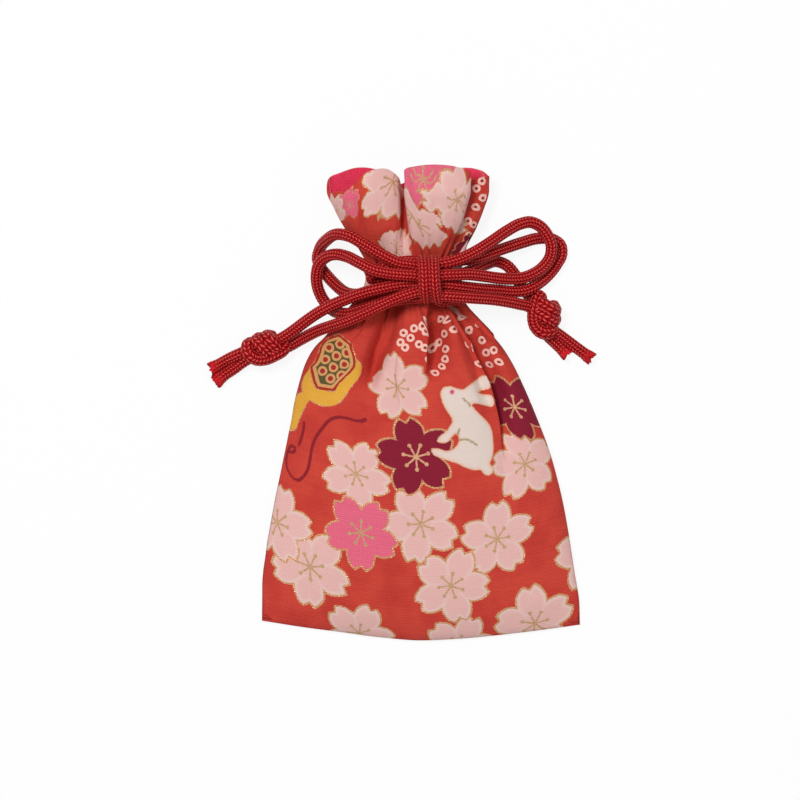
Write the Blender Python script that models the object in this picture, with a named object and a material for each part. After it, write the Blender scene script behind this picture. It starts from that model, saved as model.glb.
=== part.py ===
# Gathered drawstring pouch lying on its back: printed cloth, lining, and a bow tied in two braided cords.
# Metres, +Z up. X runs across the bag, +Y towards its mouth, and the floor is Z = 0.

import math

import bpy
import bmesh
import numpy as np

MM = 0.001

# Cloth bag, laid flat but for its gathers
BAG_LENGTH = 94.8 * MM
BAG_WIDTH = 63.8 * MM
FRILL_LENGTH = 22.8 * MM
FRILL_WIDTH = 32.3 * MM
FRILL_DEPTH = 13.4 * MM
NECK_WIDTH = 19.6 * MM
NECK_X = -1.6 * MM
NECK_DEPTH = 7.2 * MM
BODY_DEPTH = 9.6 * MM
HEM_DEPTH = 1.6 * MM
BACK_LIFT = 0.05 * MM
SIDE_SEAM_HEIGHT = 4.2 * MM
CORNER_RISE = 3.7 * MM
PLEAT_DEPTH = 1.8 * MM
CREASE_DEPTH = 3.0 * MM
PLEAT_SHARPNESS = 1.35
PLEAT_BODY_SPREAD = 2.2
PLEAT_FRILL_SPREAD = 1.2
FRONT_ROUNDING = (2.6, 0.62)
BACK_FLAT_SHARE = 0.66
BACK_CURL = 1.4

# Mouth: the two cloths and the pocket that shows between them
CLOTH_WALL = 0.8 * MM
LINING_WALL = 0.4 * MM
LINING_INSET = 0.4 * MM
MOUTH_DEPTH = 12.0 * MM
CLEARANCE = 0.3 * MM

# Cords
CORD_DIAMETER = 2.4 * MM
CORD_STEP = 2.4 * MM
BOW_X = 1.7 * MM
BOW_HEIGHT = 12.7 * MM
WRAP_LENGTH = 9.8 * MM
WRAP_TURNS = 2
CORE_INSET = 0.25 * MM
RING_POINTS = 26
CORE_SIDES = 20

# Stopper knots, one in each pair of ends
KNOT_LENGTH = 9.6 * MM
KNOT_DIAMETER = 5.6 * MM
KNOT_RIDGE = 0.45 * MM
KNOT_RIDGES = 3
KNOT_FULLNESS = 0.55
KNOT_ROWS = 15
KNOT_COLUMNS = 24
LEFT_KNOT_AT = (-31.6, 11.0)
LEFT_KNOT_TURN = 200.0
RIGHT_KNOT_AT = (24.6, 17.6)
RIGHT_KNOT_TURN = 262.0

# Faces round and along the cloth
FRONT_COLUMNS = 50
BACK_COLUMNS = 38
BODY_ROWS = 19
FRILL_ROWS = 10
MOUTH_ROWS = 5
SEAM_CROWDING = 0.28
NECK_CROWDING = 1.25

# Side edges of the body: share of the way from neck to hem, and share of the widening there
LEFT_EDGE = [(0, 0), (.03, .03), (.07, .14), (.11, .25), (.16, .37), (.20, .49), (.27, .60),
             (.41, .71), (.63, .87), (.80, .965), (.90, 1), (1, 1)]
RIGHT_EDGE = [(0, 0), (.04, 0), (.07, .03), (.10, .10), (.14, .21), (.20, .355), (.26, .456),
              (.36, .59), (.50, .745), (.67, .87), (.85, .955), (.94, .995), (1, 1)]
# Fullness of the body along the same way: height of its top, and of its side seam
BODY_TOP = [(0, NECK_DEPTH / BODY_DEPTH), (.05, .92), (.14, 1), (.30, .95), (.50, .84), (.77, .68),
            (.92, .46), (.985, .22), (1, .10)]
SEAM_RISE = [(0, 1), (.10, .85), (.30, .60), (.60, .42), (.85, .30), (1, .17)]
# Places where the back lies on the floor: share of the way from neck to hem, and place across it from -1 to 1
FEET = [(.97, -.62), (.97, .62), (.32, -.62), (.32, .62)]
# Opening of the frill: share of its height, and share of the way from neck to rim
FRILL_FLARE = [(0, 0), (.14, .0), (.27, .17), (.45, .54), (.63, .83), (.79, 1.01), (1, 1)]

# Rim of the mouth in millimetres as drawn, from the left seam over the front and back round to it: x, drop, z
FRONT_RIM = [(-18.6, 2.6, 5.6), (-17.8, 4.8, 8.6), (-14.8, 4.9, 11.0), (-11.8, 1.9, 12.0), (-7.6, .8, 11.7),
             (-4.6, 2.2, 9.6), (-3.9, 4.0, 6.8), (-3.3, 4.8, 5.0), (-2.5, 3.8, 6.6), (-3.1, 2.0, 9.6),
             (-3.3, .9, 11.7), (-.8, .3, 13.0), (3.4, .05, 13.4), (7.2, .5, 12.9), (9.9, 1.5, 11.1),
             (9.6, 3.2, 8.9), (7.9, 3.9, 7.9), (9.3, 3.2, 7.1), (12.0, 2.5, 7.0), (13.7, 2.1, 5.4)]
BACK_RIM = [(13.7, 2.1, 5.4), (12.4, 1.0, 3.0), (8.8, .3, 1.3), (5.6, .8, .8), (1.6, 1.2, 1.2), (-1.6, 2.2, 1.9),
            (-4.2, 3.6, 2.6), (-6.4, 2.2, 1.7), (-8.8, .8, .9), (-10.8, .3, 1.7), (-12.8, .3, 1.0),
            (-16.4, 1.4, 1.9), (-18.6, 2.6, 5.6)]
# Pleats drawn in at the neck: place across it from -1 to 1, reach into body and frill, share of depth, width
FRONT_PLEATS = [(-.80, .16, .6, .9, .9), (-.58, .12, .6, .7, .8), (-.37, .50, .4, 1, 1.2),
                (-.12, .20, .3, .9, .9), (.12, .14, .5, .8, .8), (.35, .36, .4, 1, .9),
                (.64, .72, .4, 1, 1.0), (.86, .20, .6, .8, .8)]
BACK_PLEATS = [(-.78, .20, .5, .9, 1.0), (-.5, .34, .6, .9, 1.1), (-.22, .22, .6, 1, 1.0),
               (.06, .40, .6, .9, 1.2), (.34, .26, .6, 1, 1.0), (.60, .36, .5, .9, 1.1),
               (.82, .18, .5, .8, .9)]

# Cord routes in millimetres from the bag's middle, read off one smooth curve each
ROUTES = {
    "left_loop_back": [
        (-1.1, 27.3, 12.7), (-4.4, 27.9, 12.7), (-7.6, 29.4, 12.4), (-11.2, 31.5, 11.6), (-14.2, 33.2, 10.7),
        (-16.7, 33.7, 8.8), (-18.9, 32.6, 5.6), (-20.3, 30.8, 2.5), (-20.7, 28.8, 1.4), (-20.1, 27.2, 1.25),
        (-18.8, 25.5, 1.3), (-17.0, 23.6, 2.2), (-15.2, 22.2, 4.4), (-13.0, 21.7, 6.9), (-10.0, 22.2, 8.7),
        (-6.5, 22.8, 9.2), (-3.6, 23.0, 9.3), (-1.1, 23.0, 9.3)],
    "left_loop_front": [
        (-1.1, 25.3, 14.3), (-3.6, 25.5, 14.3), (-6.4, 25.8, 14.0), (-9.2, 26.4, 13.5), (-12.4, 28.0, 11.7),
        (-15.0, 29.3, 9.1), (-16.9, 29.7, 7.5), (-18.8, 29.3, 6.0), (-20.3, 28.0, 4.8), (-20.9, 26.0, 3.9),
        (-20.8, 23.6, 2.9), (-20.0, 21.4, 2.1), (-18.7, 19.5, 2.6), (-17.0, 18.2, 5.2), (-15.6, 17.9, 7.2),
        (-14.0, 17.9, 8.6), (-12.2, 18.4, 9.5), (-9.6, 19.3, 10.1), (-6.6, 20.2, 10.8), (-3.6, 20.8, 11.3),
        (-1.1, 21.0, 11.5)],
    "left_tail_upper": [
        (-1.1, 23.7, 12.0), (-4.4, 23.5, 12.3), (-7.6, 22.9, 12.3), (-11.0, 22.1, 11.6), (-14.2, 21.0, 10.2),
        (-17.6, 19.6, 8.5), (-20.8, 17.9, 6.9), (-23.4, 16.1, 5.6), (-25.4, 14.6, 4.7), (-27.5, 13.2, 4.0)],
    "left_tail_lower": [
        (-1.1, 22.1, 14.3), (-4.4, 21.0, 14.0), (-7.6, 19.6, 13.4), (-11.0, 18.0, 12.6), (-14.2, 16.6, 11.2),
        (-17.6, 15.5, 8.6), (-20.8, 14.4, 5.0), (-24.0, 12.8, 2.7), (-26.5, 11.4, 1.8)],
    "right_loop_back": [
        (4.5, 27.8, 13.1), (8.0, 28.8, 12.4), (11.2, 30.4, 11.1), (14.0, 32.2, 9.4), (17.2, 34.4, 7.4),
        (19.8, 35.8, 6.0), (21.8, 36.2, 5.2), (23.8, 35.4, 4.6), (25.2, 33.8, 4.3), (26.1, 31.6, 4.1),
        (25.9, 29.4, 3.9), (24.4, 27.2, 4.2), (22.4, 25.8, 5.0), (20.2, 25.0, 5.9), (18.0, 24.8, 6.9),
        (15.6, 24.9, 8.4), (12.4, 25.3, 10.5), (9.2, 25.6, 12.6), (6.6, 25.5, 14.0), (4.5, 25.4, 14.5)],
    "right_loop_front": [
        (4.5, 27.9, 10.3), (8.0, 28.5, 9.6), (11.2, 29.0, 8.4), (14.0, 30.0, 6.8), (17.4, 31.2, 4.4),
        (20.4, 32.2, 2.6), (23.4, 33.0, 1.4), (26.2, 32.9, 1.25), (28.0, 31.6, 1.25), (28.2, 29.8, 1.25),
        (27.2, 27.8, 1.25), (25.6, 25.7, 1.6), (23.8, 24.1, 2.8), (22.2, 23.1, 4.0), (20.6, 22.5, 4.6),
        (18.4, 22.3, 5.3), (15.6, 22.5, 6.5), (12.4, 22.7, 8.6), (9.2, 23.0, 10.6), (6.6, 23.3, 12.0),
        (4.5, 23.5, 12.5)],
    "right_tail_upper": [
        (4.5, 25.1, 10.1), (7.6, 25.6, 9.0), (10.4, 26.6, 6.8), (13.0, 27.8, 4.0), (15.2, 28.4, 1.8),
        (17.2, 27.6, 1.3), (18.8, 25.8, 1.25), (19.9, 23.8, 1.25), (21.1, 22.1, 1.3), (22.7, 21.0, 2.0)],
    "right_tail_lower": [
        (4.5, 21.3, 14.2), (7.6, 21.1, 13.4), (10.8, 20.9, 11.8), (14.0, 20.7, 9.8), (17.0, 20.3, 7.9),
        (19.6, 19.8, 6.0), (21.6, 19.3, 4.5)],
    "left_lead_upper": [
        (-10.7, 25.2, 10.2), (-9.0, 26.3, 10.6), (-6.8, 27.2, 10.3), (-4.0, 28.1, 9.9), (-1.1, 28.3, 9.6)],
    "left_lead_lower": [
        (-10.4, 24.9, 7.2), (-8.6, 25.0, 8.2), (-6.6, 25.3, 8.7), (-3.8, 25.7, 8.9), (-1.1, 25.8, 8.9)],
    "right_lead_upper": [(7.7, 22.3, 8.2), (6.2, 22.4, 9.0), (4.5, 22.5, 9.5)],
    "right_lead_lower": [(7.7, 19.6, 9.6), (6.1, 19.8, 9.9), (4.5, 19.8, 10.0)],
    "left_cut_end_1": [(-36.4, 10.45, 2.5), (-38.6, 9.6, 1.6), (-40.4, 8.4, 1.25), (-42.3, 7.1, 1.25)],
    "left_cut_end_2": [(-36.2, 7.6, 2.3), (-37.6, 6.9, 1.6), (-39.2, 5.9, 1.25), (-41.0, 4.7, 1.25)],
    "right_cut_end_1": [(25.7, 13.2, 2.6), (28.0, 12.4, 1.6), (30.6, 11.2, 1.25), (34.6, 9.2, 1.25)],
    "right_cut_end_2": [(23.2, 11.7, 1.8), (25.2, 10.4, 1.3), (28.2, 9.2, 1.25)],
}

CRIMSON = (0.45, 0.012, 0.02)
MATERIALS = {
    "printed_cotton": ((0.58, 0.055, 0.035), 0.85),
    "lining_cloth": ((0.52, 0.03, 0.06), 0.7),
    "braided_cord": (CRIMSON, 0.6),
}


def clear_scene():
    for obj in list(bpy.data.objects):
        bpy.data.objects.remove(obj, do_unlink=True)


def new_collection(name):
    made = bpy.data.collections.new(name)
    bpy.context.scene.collection.children.link(made)
    return made


def new_material(object_name, finish):
    colour, roughness = MATERIALS[finish]
    made = bpy.data.materials.new(f"{object_name}_{finish}")
    made.use_nodes = True
    shader = made.node_tree.nodes["Principled BSDF"]
    shader.inputs["Base Color"].default_value = (*colour, 1)
    shader.inputs["Roughness"].default_value = roughness
    shader.inputs["Metallic"].default_value = 0
    return made


def add_object(name, data, collection, finish):
    obj = bpy.data.objects.new(name, data)
    obj.data.materials.append(new_material(name, finish))
    collection.objects.link(obj)
    return obj


def mesh_from(name, points, faces):
    mesh = bpy.data.meshes.new(name)
    mesh.from_pydata([tuple(map(float, p)) for p in points], [], faces)
    shape = bmesh.new()
    shape.from_mesh(mesh)
    bmesh.ops.recalc_face_normals(shape, faces=shape.faces)
    shape.to_mesh(mesh)
    shape.free()
    mesh.shade_smooth()
    return mesh


# Curves through chosen points

def smooth_step(value):
    t = np.clip(value, 0, 1)
    return t * t * (3 - 2 * t)


def catmull(points, samples):
    """Cubic through the points, read at samples from 0 to 1 of its length between points."""
    points = np.asarray(points, float)
    gaps = np.linalg.norm(np.diff(points, axis=0), axis=1)
    knots = np.concatenate([[0], np.cumsum(gaps)])
    slopes = np.gradient(points, knots, axis=0)
    at = np.asarray(samples) * knots[-1]
    i = np.clip(np.searchsorted(knots, at, side="right") - 1, 0, len(points) - 2)
    width = (knots[i + 1] - knots[i])[:, None]
    t = ((at - knots[i])[:, None]) / width
    return (points[i] * (1 + 2 * t) * (1 - t) ** 2 + slopes[i] * width * t * (1 - t) ** 2
            + points[i + 1] * t * t * (3 - 2 * t) + slopes[i + 1] * width * t * t * (t - 1))


def read_table(table, at):
    """Value of a table of (place, value) at any place, on a cubic that never overshoots its points."""
    place, value = np.array(table, float).T
    slope = np.diff(value) / np.diff(place)
    both = slope[:-1] * slope[1:]
    inner = np.where(both > 0, 2 * both / (slope[:-1] + slope[1:] + 1e-12), 0)
    tangent = np.concatenate([[slope[0]], inner, [slope[-1]]])
    i = np.clip(np.searchsorted(place, at, side="right") - 1, 0, len(place) - 2)
    width = place[i + 1] - place[i]
    t = (at - place[i]) / width
    return (value[i] * (1 + 2 * t) * (1 - t) ** 2 + tangent[i] * width * t * (1 - t) ** 2
            + value[i + 1] * t * t * (3 - 2 * t) + tangent[i + 1] * width * t * t * (t - 1))


# Cloth surface: columns run round the bag from the left seam over the front, rows from the hem to the rim

def mouth_y():
    return BAG_LENGTH / 2


def neck_y():
    return mouth_y() - FRILL_LENGTH


def column_places():
    """Side of each column, 0 front and 1 back, and its place across that side, from the left seam round."""
    front = np.linspace(0, 1, FRONT_COLUMNS, endpoint=False)
    back = np.linspace(0, 1, BACK_COLUMNS, endpoint=False)
    side = np.concatenate([np.zeros(FRONT_COLUMNS), np.ones(BACK_COLUMNS)])
    return side, np.concatenate([front, back])


def across(side, share):
    """Place across the bag from -1 at the left seam to 1 at the right, closer together at the seams."""
    even = 2 * share - 1
    spread = (1 - SEAM_CROWDING) * even - SEAM_CROWDING * np.cos(math.pi * share)
    return np.where(side == 0, spread, -spread)


def pleat_draw(side, s, t_body, t_frill, half_width):
    """Depth that the pleats draw the cloth in, fading with distance from the neck."""
    drawn = np.zeros_like(s)
    for number, pleats in enumerate((FRONT_PLEATS, BACK_PLEATS)):
        for place, reach, frill_reach, share, width in pleats:
            down = smooth_step(t_body / reach)
            up = smooth_step(t_frill / frill_reach)
            fade = (1 - down) * (1 - up)
            spread = width * MM * (1 + PLEAT_BODY_SPREAD * down + PLEAT_FRILL_SPREAD * up)
            depth = PLEAT_DEPTH + (CREASE_DEPTH - PLEAT_DEPTH) * smooth_step(3 * t_body)
            shape = np.exp(-(np.abs(s - place) * half_width / spread) ** PLEAT_SHARPNESS)
            drawn = drawn + np.where(side == number, share * depth * fade * shape, 0)
    return drawn


def body_section(side, s, t):
    """Lens-shaped section of the body at the share t of the way from neck to hem, with a flat back."""
    widening = (BAG_WIDTH - NECK_WIDTH) / 2
    neck_left = NECK_X - NECK_WIDTH / 2
    neck_right = NECK_X + NECK_WIDTH / 2
    left = neck_left - (widening + NECK_X) * read_table(LEFT_EDGE, t)
    right = neck_right + (widening - NECK_X) * read_table(RIGHT_EDGE, t)
    half = (right - left) / 2
    x = (left + right) / 2 + s * half
    edge_y = neck_y() + (CORNER_RISE - BAG_LENGTH / 2 - neck_y()) * t
    y = edge_y - CORNER_RISE * t * (1 - s * s)
    seam = SIDE_SEAM_HEIGHT * read_table(SEAM_RISE, t)
    top = np.maximum(BODY_DEPTH * read_table(BODY_TOP, t), HEM_DEPTH * (1 - t) + seam)
    width_power, height_power = FRONT_ROUNDING
    front = seam + (top - seam) * (1 - np.abs(s) ** width_power) ** height_power
    curl = smooth_step((np.abs(s) - BACK_FLAT_SHARE) / (1 - BACK_FLAT_SHARE)) ** BACK_CURL
    back = BACK_LIFT + (seam - BACK_LIFT) * curl
    return np.stack([x, y, np.where(side == 0, front, back)], axis=-1), half


def rim_curve(side, share):
    """Rim of the mouth at each column: the drawn rim brought to the frill's width and depth."""
    drawn = np.array(FRONT_RIM + BACK_RIM) * MM
    front = catmull(FRONT_RIM, share)
    back = catmull(BACK_RIM, share)
    rim = np.where((side == 0)[:, None], front, back) * MM
    rim[:, 0] = NECK_X + (rim[:, 0] - NECK_X) * FRILL_WIDTH / np.ptp(drawn[:, 0])
    rim[:, 1] = mouth_y() - rim[:, 1]
    rim[:, 2] *= FRILL_DEPTH / drawn[:, 2].max()
    return rim


def side_normal(points):
    """Outward direction at each column of a closed section, in the plane across the bag."""
    along = np.roll(points, -1, axis=0) - np.roll(points, 1, axis=0)
    normal = np.stack([-along[:, 2], np.zeros(len(points)), along[:, 0]], axis=-1)
    return normal / np.maximum(np.linalg.norm(normal, axis=1), 1e-9)[:, None]


def cloth_row(t_body, t_frill):
    """One closed row of cloth points: t_body from neck to hem, t_frill from neck to rim."""
    side, share = column_places()
    s = across(side, share)
    row, half = body_section(side, s, t_body)
    normal = side_normal(row)
    row = row - normal * pleat_draw(side, s, t_body, t_frill, half)[:, None]
    if t_frill > 0:
        rim = rim_curve(side, share)
        flare = read_table(FRILL_FLARE, t_frill)
        rise = np.array([flare, t_frill, flare])
        row = row + (rim - row) * rise
    row[:, 2] = np.maximum(row[:, 2], BACK_LIFT)
    return row


def inset_row(t_frill, distance):
    """A row of the frill moved inwards by a wall or a gap."""
    row = cloth_row(0, t_frill)
    return row - side_normal(row) * distance


def mouth_floor_share():
    return 1 - MOUTH_DEPTH / FRILL_LENGTH


def join_rows(rows):
    """Quads between closed rows, each with the same columns."""
    columns = len(rows[0])
    faces = []
    for r in range(len(rows) - 1):
        for c in range(columns):
            d = (c + 1) % columns
            faces.append((r * columns + c, r * columns + d, (r + 1) * columns + d, (r + 1) * columns + c))
    return faces


def fan(first, columns, centre):
    return [(first + c, first + (c + 1) % columns, centre) for c in range(columns)]


def closed_mesh(name, rows):
    """Solid through closed rows, with a fan over the first and the last."""
    columns = len(rows[0])
    points = np.concatenate(rows)
    count = len(points)
    faces = join_rows(rows) + fan(0, columns, count) + fan(count - columns, columns, count + 1)
    middles = [rows[0].mean(axis=0), rows[-1].mean(axis=0)]
    return mesh_from(name, np.concatenate([points, middles]), faces)


def set_on_feet(rows, hem_first):
    """The back bows up a hair between the four places that carry the bag, which reach the floor."""
    side, share = column_places()
    s = across(side, share)
    for t, place in FEET:
        row = np.argmin(np.abs(hem_first - t))
        column = np.argmin(np.where(side == 1, np.abs(s - place), np.inf))
        rows[row][column, 2] = 0


def build_outer_cloth(collection):
    """Sealed body, gathered neck and open frill as one lofted solid."""
    hem_first = np.linspace(1, 0, BODY_ROWS, endpoint=False) ** NECK_CROWDING
    rows = [cloth_row(t, 0) for t in hem_first]
    set_on_feet(rows, hem_first)
    rows += [cloth_row(0, t) for t in np.linspace(0, 1, FRILL_ROWS + 1)]
    rows += [inset_row(t, CLOTH_WALL) for t in np.linspace(1, mouth_floor_share(), MOUTH_ROWS)]
    add_object("outer_cloth", closed_mesh("outer_cloth", rows), collection, "printed_cotton")


def build_lining(collection):
    """Thin cup of lining inside the mouth, clear of the cloth round it."""
    outside = CLOTH_WALL + CLEARANCE
    inside = outside + LINING_WALL
    top = 1 - LINING_INSET / FRILL_LENGTH
    bottom = mouth_floor_share() + (CLEARANCE + LINING_WALL) / FRILL_LENGTH
    rows = [inset_row(t, outside) for t in np.linspace(bottom, top, MOUTH_ROWS)]
    rows += [inset_row(t, inside) for t in np.linspace(top, bottom + LINING_WALL / FRILL_LENGTH, MOUTH_ROWS)]
    add_object("lining", closed_mesh("lining", rows), collection, "lining_cloth")


# Cords and knots

def route_points(route):
    """Evenly spaced points on the smooth curve through a route."""
    points = np.array(route, float) * MM
    length = np.linalg.norm(np.diff(points, axis=0), axis=1).sum()
    count = max(4, round(length / CORD_STEP) + 1)
    return catmull(points, np.linspace(0, 1, count))


def build_cord(name, route, collection):
    curve = bpy.data.curves.new(name, "CURVE")
    curve.dimensions = "3D"
    curve.bevel_depth = CORD_DIAMETER / 2
    curve.bevel_resolution = 2
    curve.use_fill_caps = True
    points = route_points(route)
    spline = curve.splines.new("POLY")
    spline.points.add(len(points) - 1)
    spline.points.foreach_set("co", np.column_stack([points, np.ones(len(points))]).ravel())
    add_object(name, curve, collection, "braided_cord")


def wrap_half_sizes():
    """Half height and half depth of a turn's centreline, clear of the gathered neck under it."""
    return (WRAP_LENGTH - CORD_DIAMETER) / 2, BOW_HEIGHT - NECK_DEPTH - CLEARANCE - CORD_DIAMETER / 2


def wrap_ring(x):
    """Closed turn of cord round the bow, in the plane across the cords that it holds."""
    half_y, half_z = wrap_half_sizes()
    curve = bpy.data.curves.new("wrap_turn", "CURVE")
    curve.dimensions = "3D"
    curve.bevel_depth = CORD_DIAMETER / 2
    curve.bevel_resolution = 2
    angle = np.linspace(0, 2 * math.pi, RING_POINTS, endpoint=False)
    points = np.stack([np.full(RING_POINTS, x), neck_y() + half_y * np.cos(angle),
                       BOW_HEIGHT + half_z * np.sin(angle), np.ones(RING_POINTS)], axis=-1)
    spline = curve.splines.new("POLY")
    spline.points.add(len(points) - 1)
    spline.points.foreach_set("co", points.ravel())
    spline.use_cyclic_u = True
    return bpy.data.objects.new("wrap_turn", curve)


def as_mesh(obj, collection):
    """Plain mesh of a curve, with its own points welded."""
    collection.objects.link(obj)
    bpy.context.view_layer.update()
    graph = bpy.context.evaluated_depsgraph_get()
    mesh = bpy.data.meshes.new_from_object(obj.evaluated_get(graph))
    bpy.data.objects.remove(obj, do_unlink=True)
    shape = bmesh.new()
    shape.from_mesh(mesh)
    bmesh.ops.remove_doubles(shape, verts=shape.verts, dist=0.0001 * MM)
    bmesh.ops.recalc_face_normals(shape, faces=shape.faces)
    shape.to_mesh(mesh)
    shape.free()
    return mesh


def build_bow_knot(collection, helpers):
    """Two turns of cord drawn tight round the strands of the bow."""
    half_y, half_z = wrap_half_sizes()
    width = WRAP_TURNS * CORD_DIAMETER - 2 * CORE_INSET
    bpy.ops.mesh.primitive_cylinder_add(vertices=CORE_SIDES, depth=width, rotation=(0, math.pi / 2, 0),
                                        location=(BOW_X, neck_y(), BOW_HEIGHT))
    knot = bpy.context.object
    knot.scale = (half_z - CORE_INSET, half_y - CORE_INSET, 1)
    bpy.ops.object.transform_apply(scale=True, rotation=True, location=True)
    for number in range(WRAP_TURNS):
        offset = (number - (WRAP_TURNS - 1) / 2) * (CORD_DIAMETER - CORE_INSET)
        turn = bpy.data.objects.new(f"wrap_cutter_{number}", as_mesh(wrap_ring(BOW_X + offset), helpers))
        turn.hide_render = True
        turn.display_type = "WIRE"
        helpers.objects.link(turn)
        union = knot.modifiers.new(f"turn_{number}", "BOOLEAN")
        union.operation = "UNION"
        union.object = turn
    knot.name = knot.data.name = "bow_knot"
    for home in list(knot.users_collection):
        home.objects.unlink(knot)
    collection.objects.link(knot)
    knot.data.materials.append(new_material("bow_knot", "braided_cord"))


def build_stopper(name, at, turn, collection):
    """Stopper knot: a barrel whose ridges are the turns of cord that climb round it."""
    t = np.linspace(0, 1, KNOT_ROWS + 2)[1:-1]
    angle = np.linspace(0, 2 * math.pi, KNOT_COLUMNS, endpoint=False)
    along, around = np.meshgrid(t, angle, indexing="ij")
    barrel = np.sin(math.pi * along) ** KNOT_FULLNESS
    climb = np.cos(KNOT_RIDGES * 2 * math.pi * along + around)
    radius = (KNOT_DIAMETER / 2 - KNOT_RIDGE) * barrel + KNOT_RIDGE * climb * barrel
    lengthwise = (along - 0.5) * KNOT_LENGTH
    heading = math.radians(turn)
    aside = radius * np.cos(around)
    x = at[0] * MM + lengthwise * math.cos(heading) - aside * math.sin(heading)
    y = at[1] * MM + lengthwise * math.sin(heading) + aside * math.cos(heading)
    z = KNOT_DIAMETER / 2 + radius * np.sin(around)
    rings = [np.stack([x[r], y[r], z[r]], axis=-1) for r in range(KNOT_ROWS)]
    add_object(name, closed_mesh(name, rings), collection, "braided_cord")


def build_pouch():
    clear_scene()
    pouch = new_collection("amulet_bag")
    helpers = new_collection("helpers")
    build_outer_cloth(pouch)
    build_lining(pouch)
    build_bow_knot(pouch, helpers)
    for name, route in ROUTES.items():
        build_cord(name, route, pouch)
    build_stopper("left_end_knot", LEFT_KNOT_AT, LEFT_KNOT_TURN, pouch)
    build_stopper("right_end_knot", RIGHT_KNOT_AT, RIGHT_KNOT_TURN, pouch)


build_pouch()
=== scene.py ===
# Gathered drawstring pouch of printed cotton with a crimson lining, tied with a bow in braided cords.
# It lies on its back. X runs across it, Y towards its mouth, Z up out of its front. Lengths are millimetres
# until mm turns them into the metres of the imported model.

import math

import bpy
import numpy as np
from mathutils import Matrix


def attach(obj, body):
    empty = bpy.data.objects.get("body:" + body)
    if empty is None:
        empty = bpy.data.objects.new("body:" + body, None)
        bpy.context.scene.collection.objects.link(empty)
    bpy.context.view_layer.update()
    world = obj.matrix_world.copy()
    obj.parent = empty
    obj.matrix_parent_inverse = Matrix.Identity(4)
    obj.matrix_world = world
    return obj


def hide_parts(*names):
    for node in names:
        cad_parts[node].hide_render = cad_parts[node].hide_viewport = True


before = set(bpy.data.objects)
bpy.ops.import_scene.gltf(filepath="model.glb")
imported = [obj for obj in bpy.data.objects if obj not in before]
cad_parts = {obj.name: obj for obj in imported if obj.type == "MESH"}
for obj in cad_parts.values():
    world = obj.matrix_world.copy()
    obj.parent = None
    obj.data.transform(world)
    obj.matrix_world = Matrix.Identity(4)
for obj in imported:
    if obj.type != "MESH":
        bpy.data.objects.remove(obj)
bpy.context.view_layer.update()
mm = 0.001


# Camera, straight above the bag as in the photograph

camera = {
    "mmPerPixel": 0.2,
    "centrePixel": (421, 403),   # where the photograph shows the middle of the bag
    "imagePixels": 800,
    "distance": 1500,
    "bagHeight": 6,
    "sensor": 36,
}


def addCamera():
    # focal length: sensor width times distance, divided by the width that the photograph shows
    width = camera["imagePixels"] * camera["mmPerPixel"]
    data = bpy.data.cameras.new("camera")
    data.sensor_width = camera["sensor"]
    data.lens = camera["sensor"] * camera["distance"] / width
    data.clip_end = 10
    eye = bpy.data.objects.new("camera", data)
    middle = camera["imagePixels"] / 2
    x = (middle - camera["centrePixel"][0]) * camera["mmPerPixel"]
    y = (camera["centrePixel"][1] - middle) * camera["mmPerPixel"]
    eye.location = (x * mm, y * mm, (camera["distance"] + camera["bagHeight"]) * mm)
    bpy.context.scene.collection.objects.link(eye)
    bpy.context.scene.camera = eye


addCamera()
print("camera made")


# Curves, tables and meshes from whole arrays

def smoothStep(low, high, value):
    # 3 t squared minus 2 t cubed, where t is the share of the way from low to high, held at 0 and 1
    t = np.clip((value - low) / (high - low), 0, 1)
    return t * t * (3 - 2 * t)


def smoothCurve(points, shares):
    # cubic through the points, with chord lengths as its knots, read at shares 0 to 1 of its length
    points = np.asarray(points, float)
    knots = np.concatenate([[0], np.cumsum(np.linalg.norm(np.diff(points, axis=0), axis=1))])
    slopes = np.gradient(points, knots, axis=0)
    at = np.asarray(shares) * knots[-1]
    i = np.clip(np.searchsorted(knots, at, side="right") - 1, 0, len(points) - 2)
    width = (knots[i + 1] - knots[i])[:, None]
    t = (at - knots[i])[:, None] / width
    start = points[i] * (1 + 2 * t) * (1 - t) ** 2 + slopes[i] * width * t * (1 - t) ** 2
    return start + points[i + 1] * t * t * (3 - 2 * t) + slopes[i + 1] * width * t * t * (t - 1)


def readTable(table, at):
    # cubic through (place, value) pairs that never overshoots them
    place, value = np.array(table, float).T
    slope = np.diff(value) / np.diff(place)
    both = slope[:-1] * slope[1:]
    inner = np.where(both > 0, 2 * both / (slope[:-1] + slope[1:] + 1e-12), 0)
    tangent = np.concatenate([[slope[0]], inner, [slope[-1]]])
    i = np.clip(np.searchsorted(place, at, side="right") - 1, 0, len(place) - 2)
    width = place[i + 1] - place[i]
    t = (at - place[i]) / width
    start = value[i] * (1 + 2 * t) * (1 - t) ** 2 + tangent[i] * width * t * (1 - t) ** 2
    return start + value[i + 1] * t * t * (3 - 2 * t) + tangent[i + 1] * width * t * t * (t - 1)


def latticeNoise(x, y, seed):
    # value noise from -1 to 1: random numbers on whole places, joined by smooth steps
    table = np.random.default_rng(seed).uniform(-1, 1, (64, 64))
    column = np.floor(x).astype(int)
    row = np.floor(y).astype(int)
    fx = smoothStep(0, 1, x - column)
    fy = smoothStep(0, 1, y - row)
    low = table[row % 64, column % 64] * (1 - fx) + table[row % 64, (column + 1) % 64] * fx
    high = table[(row + 1) % 64, column % 64] * (1 - fx) + table[(row + 1) % 64, (column + 1) % 64] * fx
    return low * (1 - fy) + high * fy


def unit(vectors):
    # each vector divided by its length
    return vectors / np.maximum(np.linalg.norm(vectors, axis=-1, keepdims=True), 1e-12)


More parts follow.
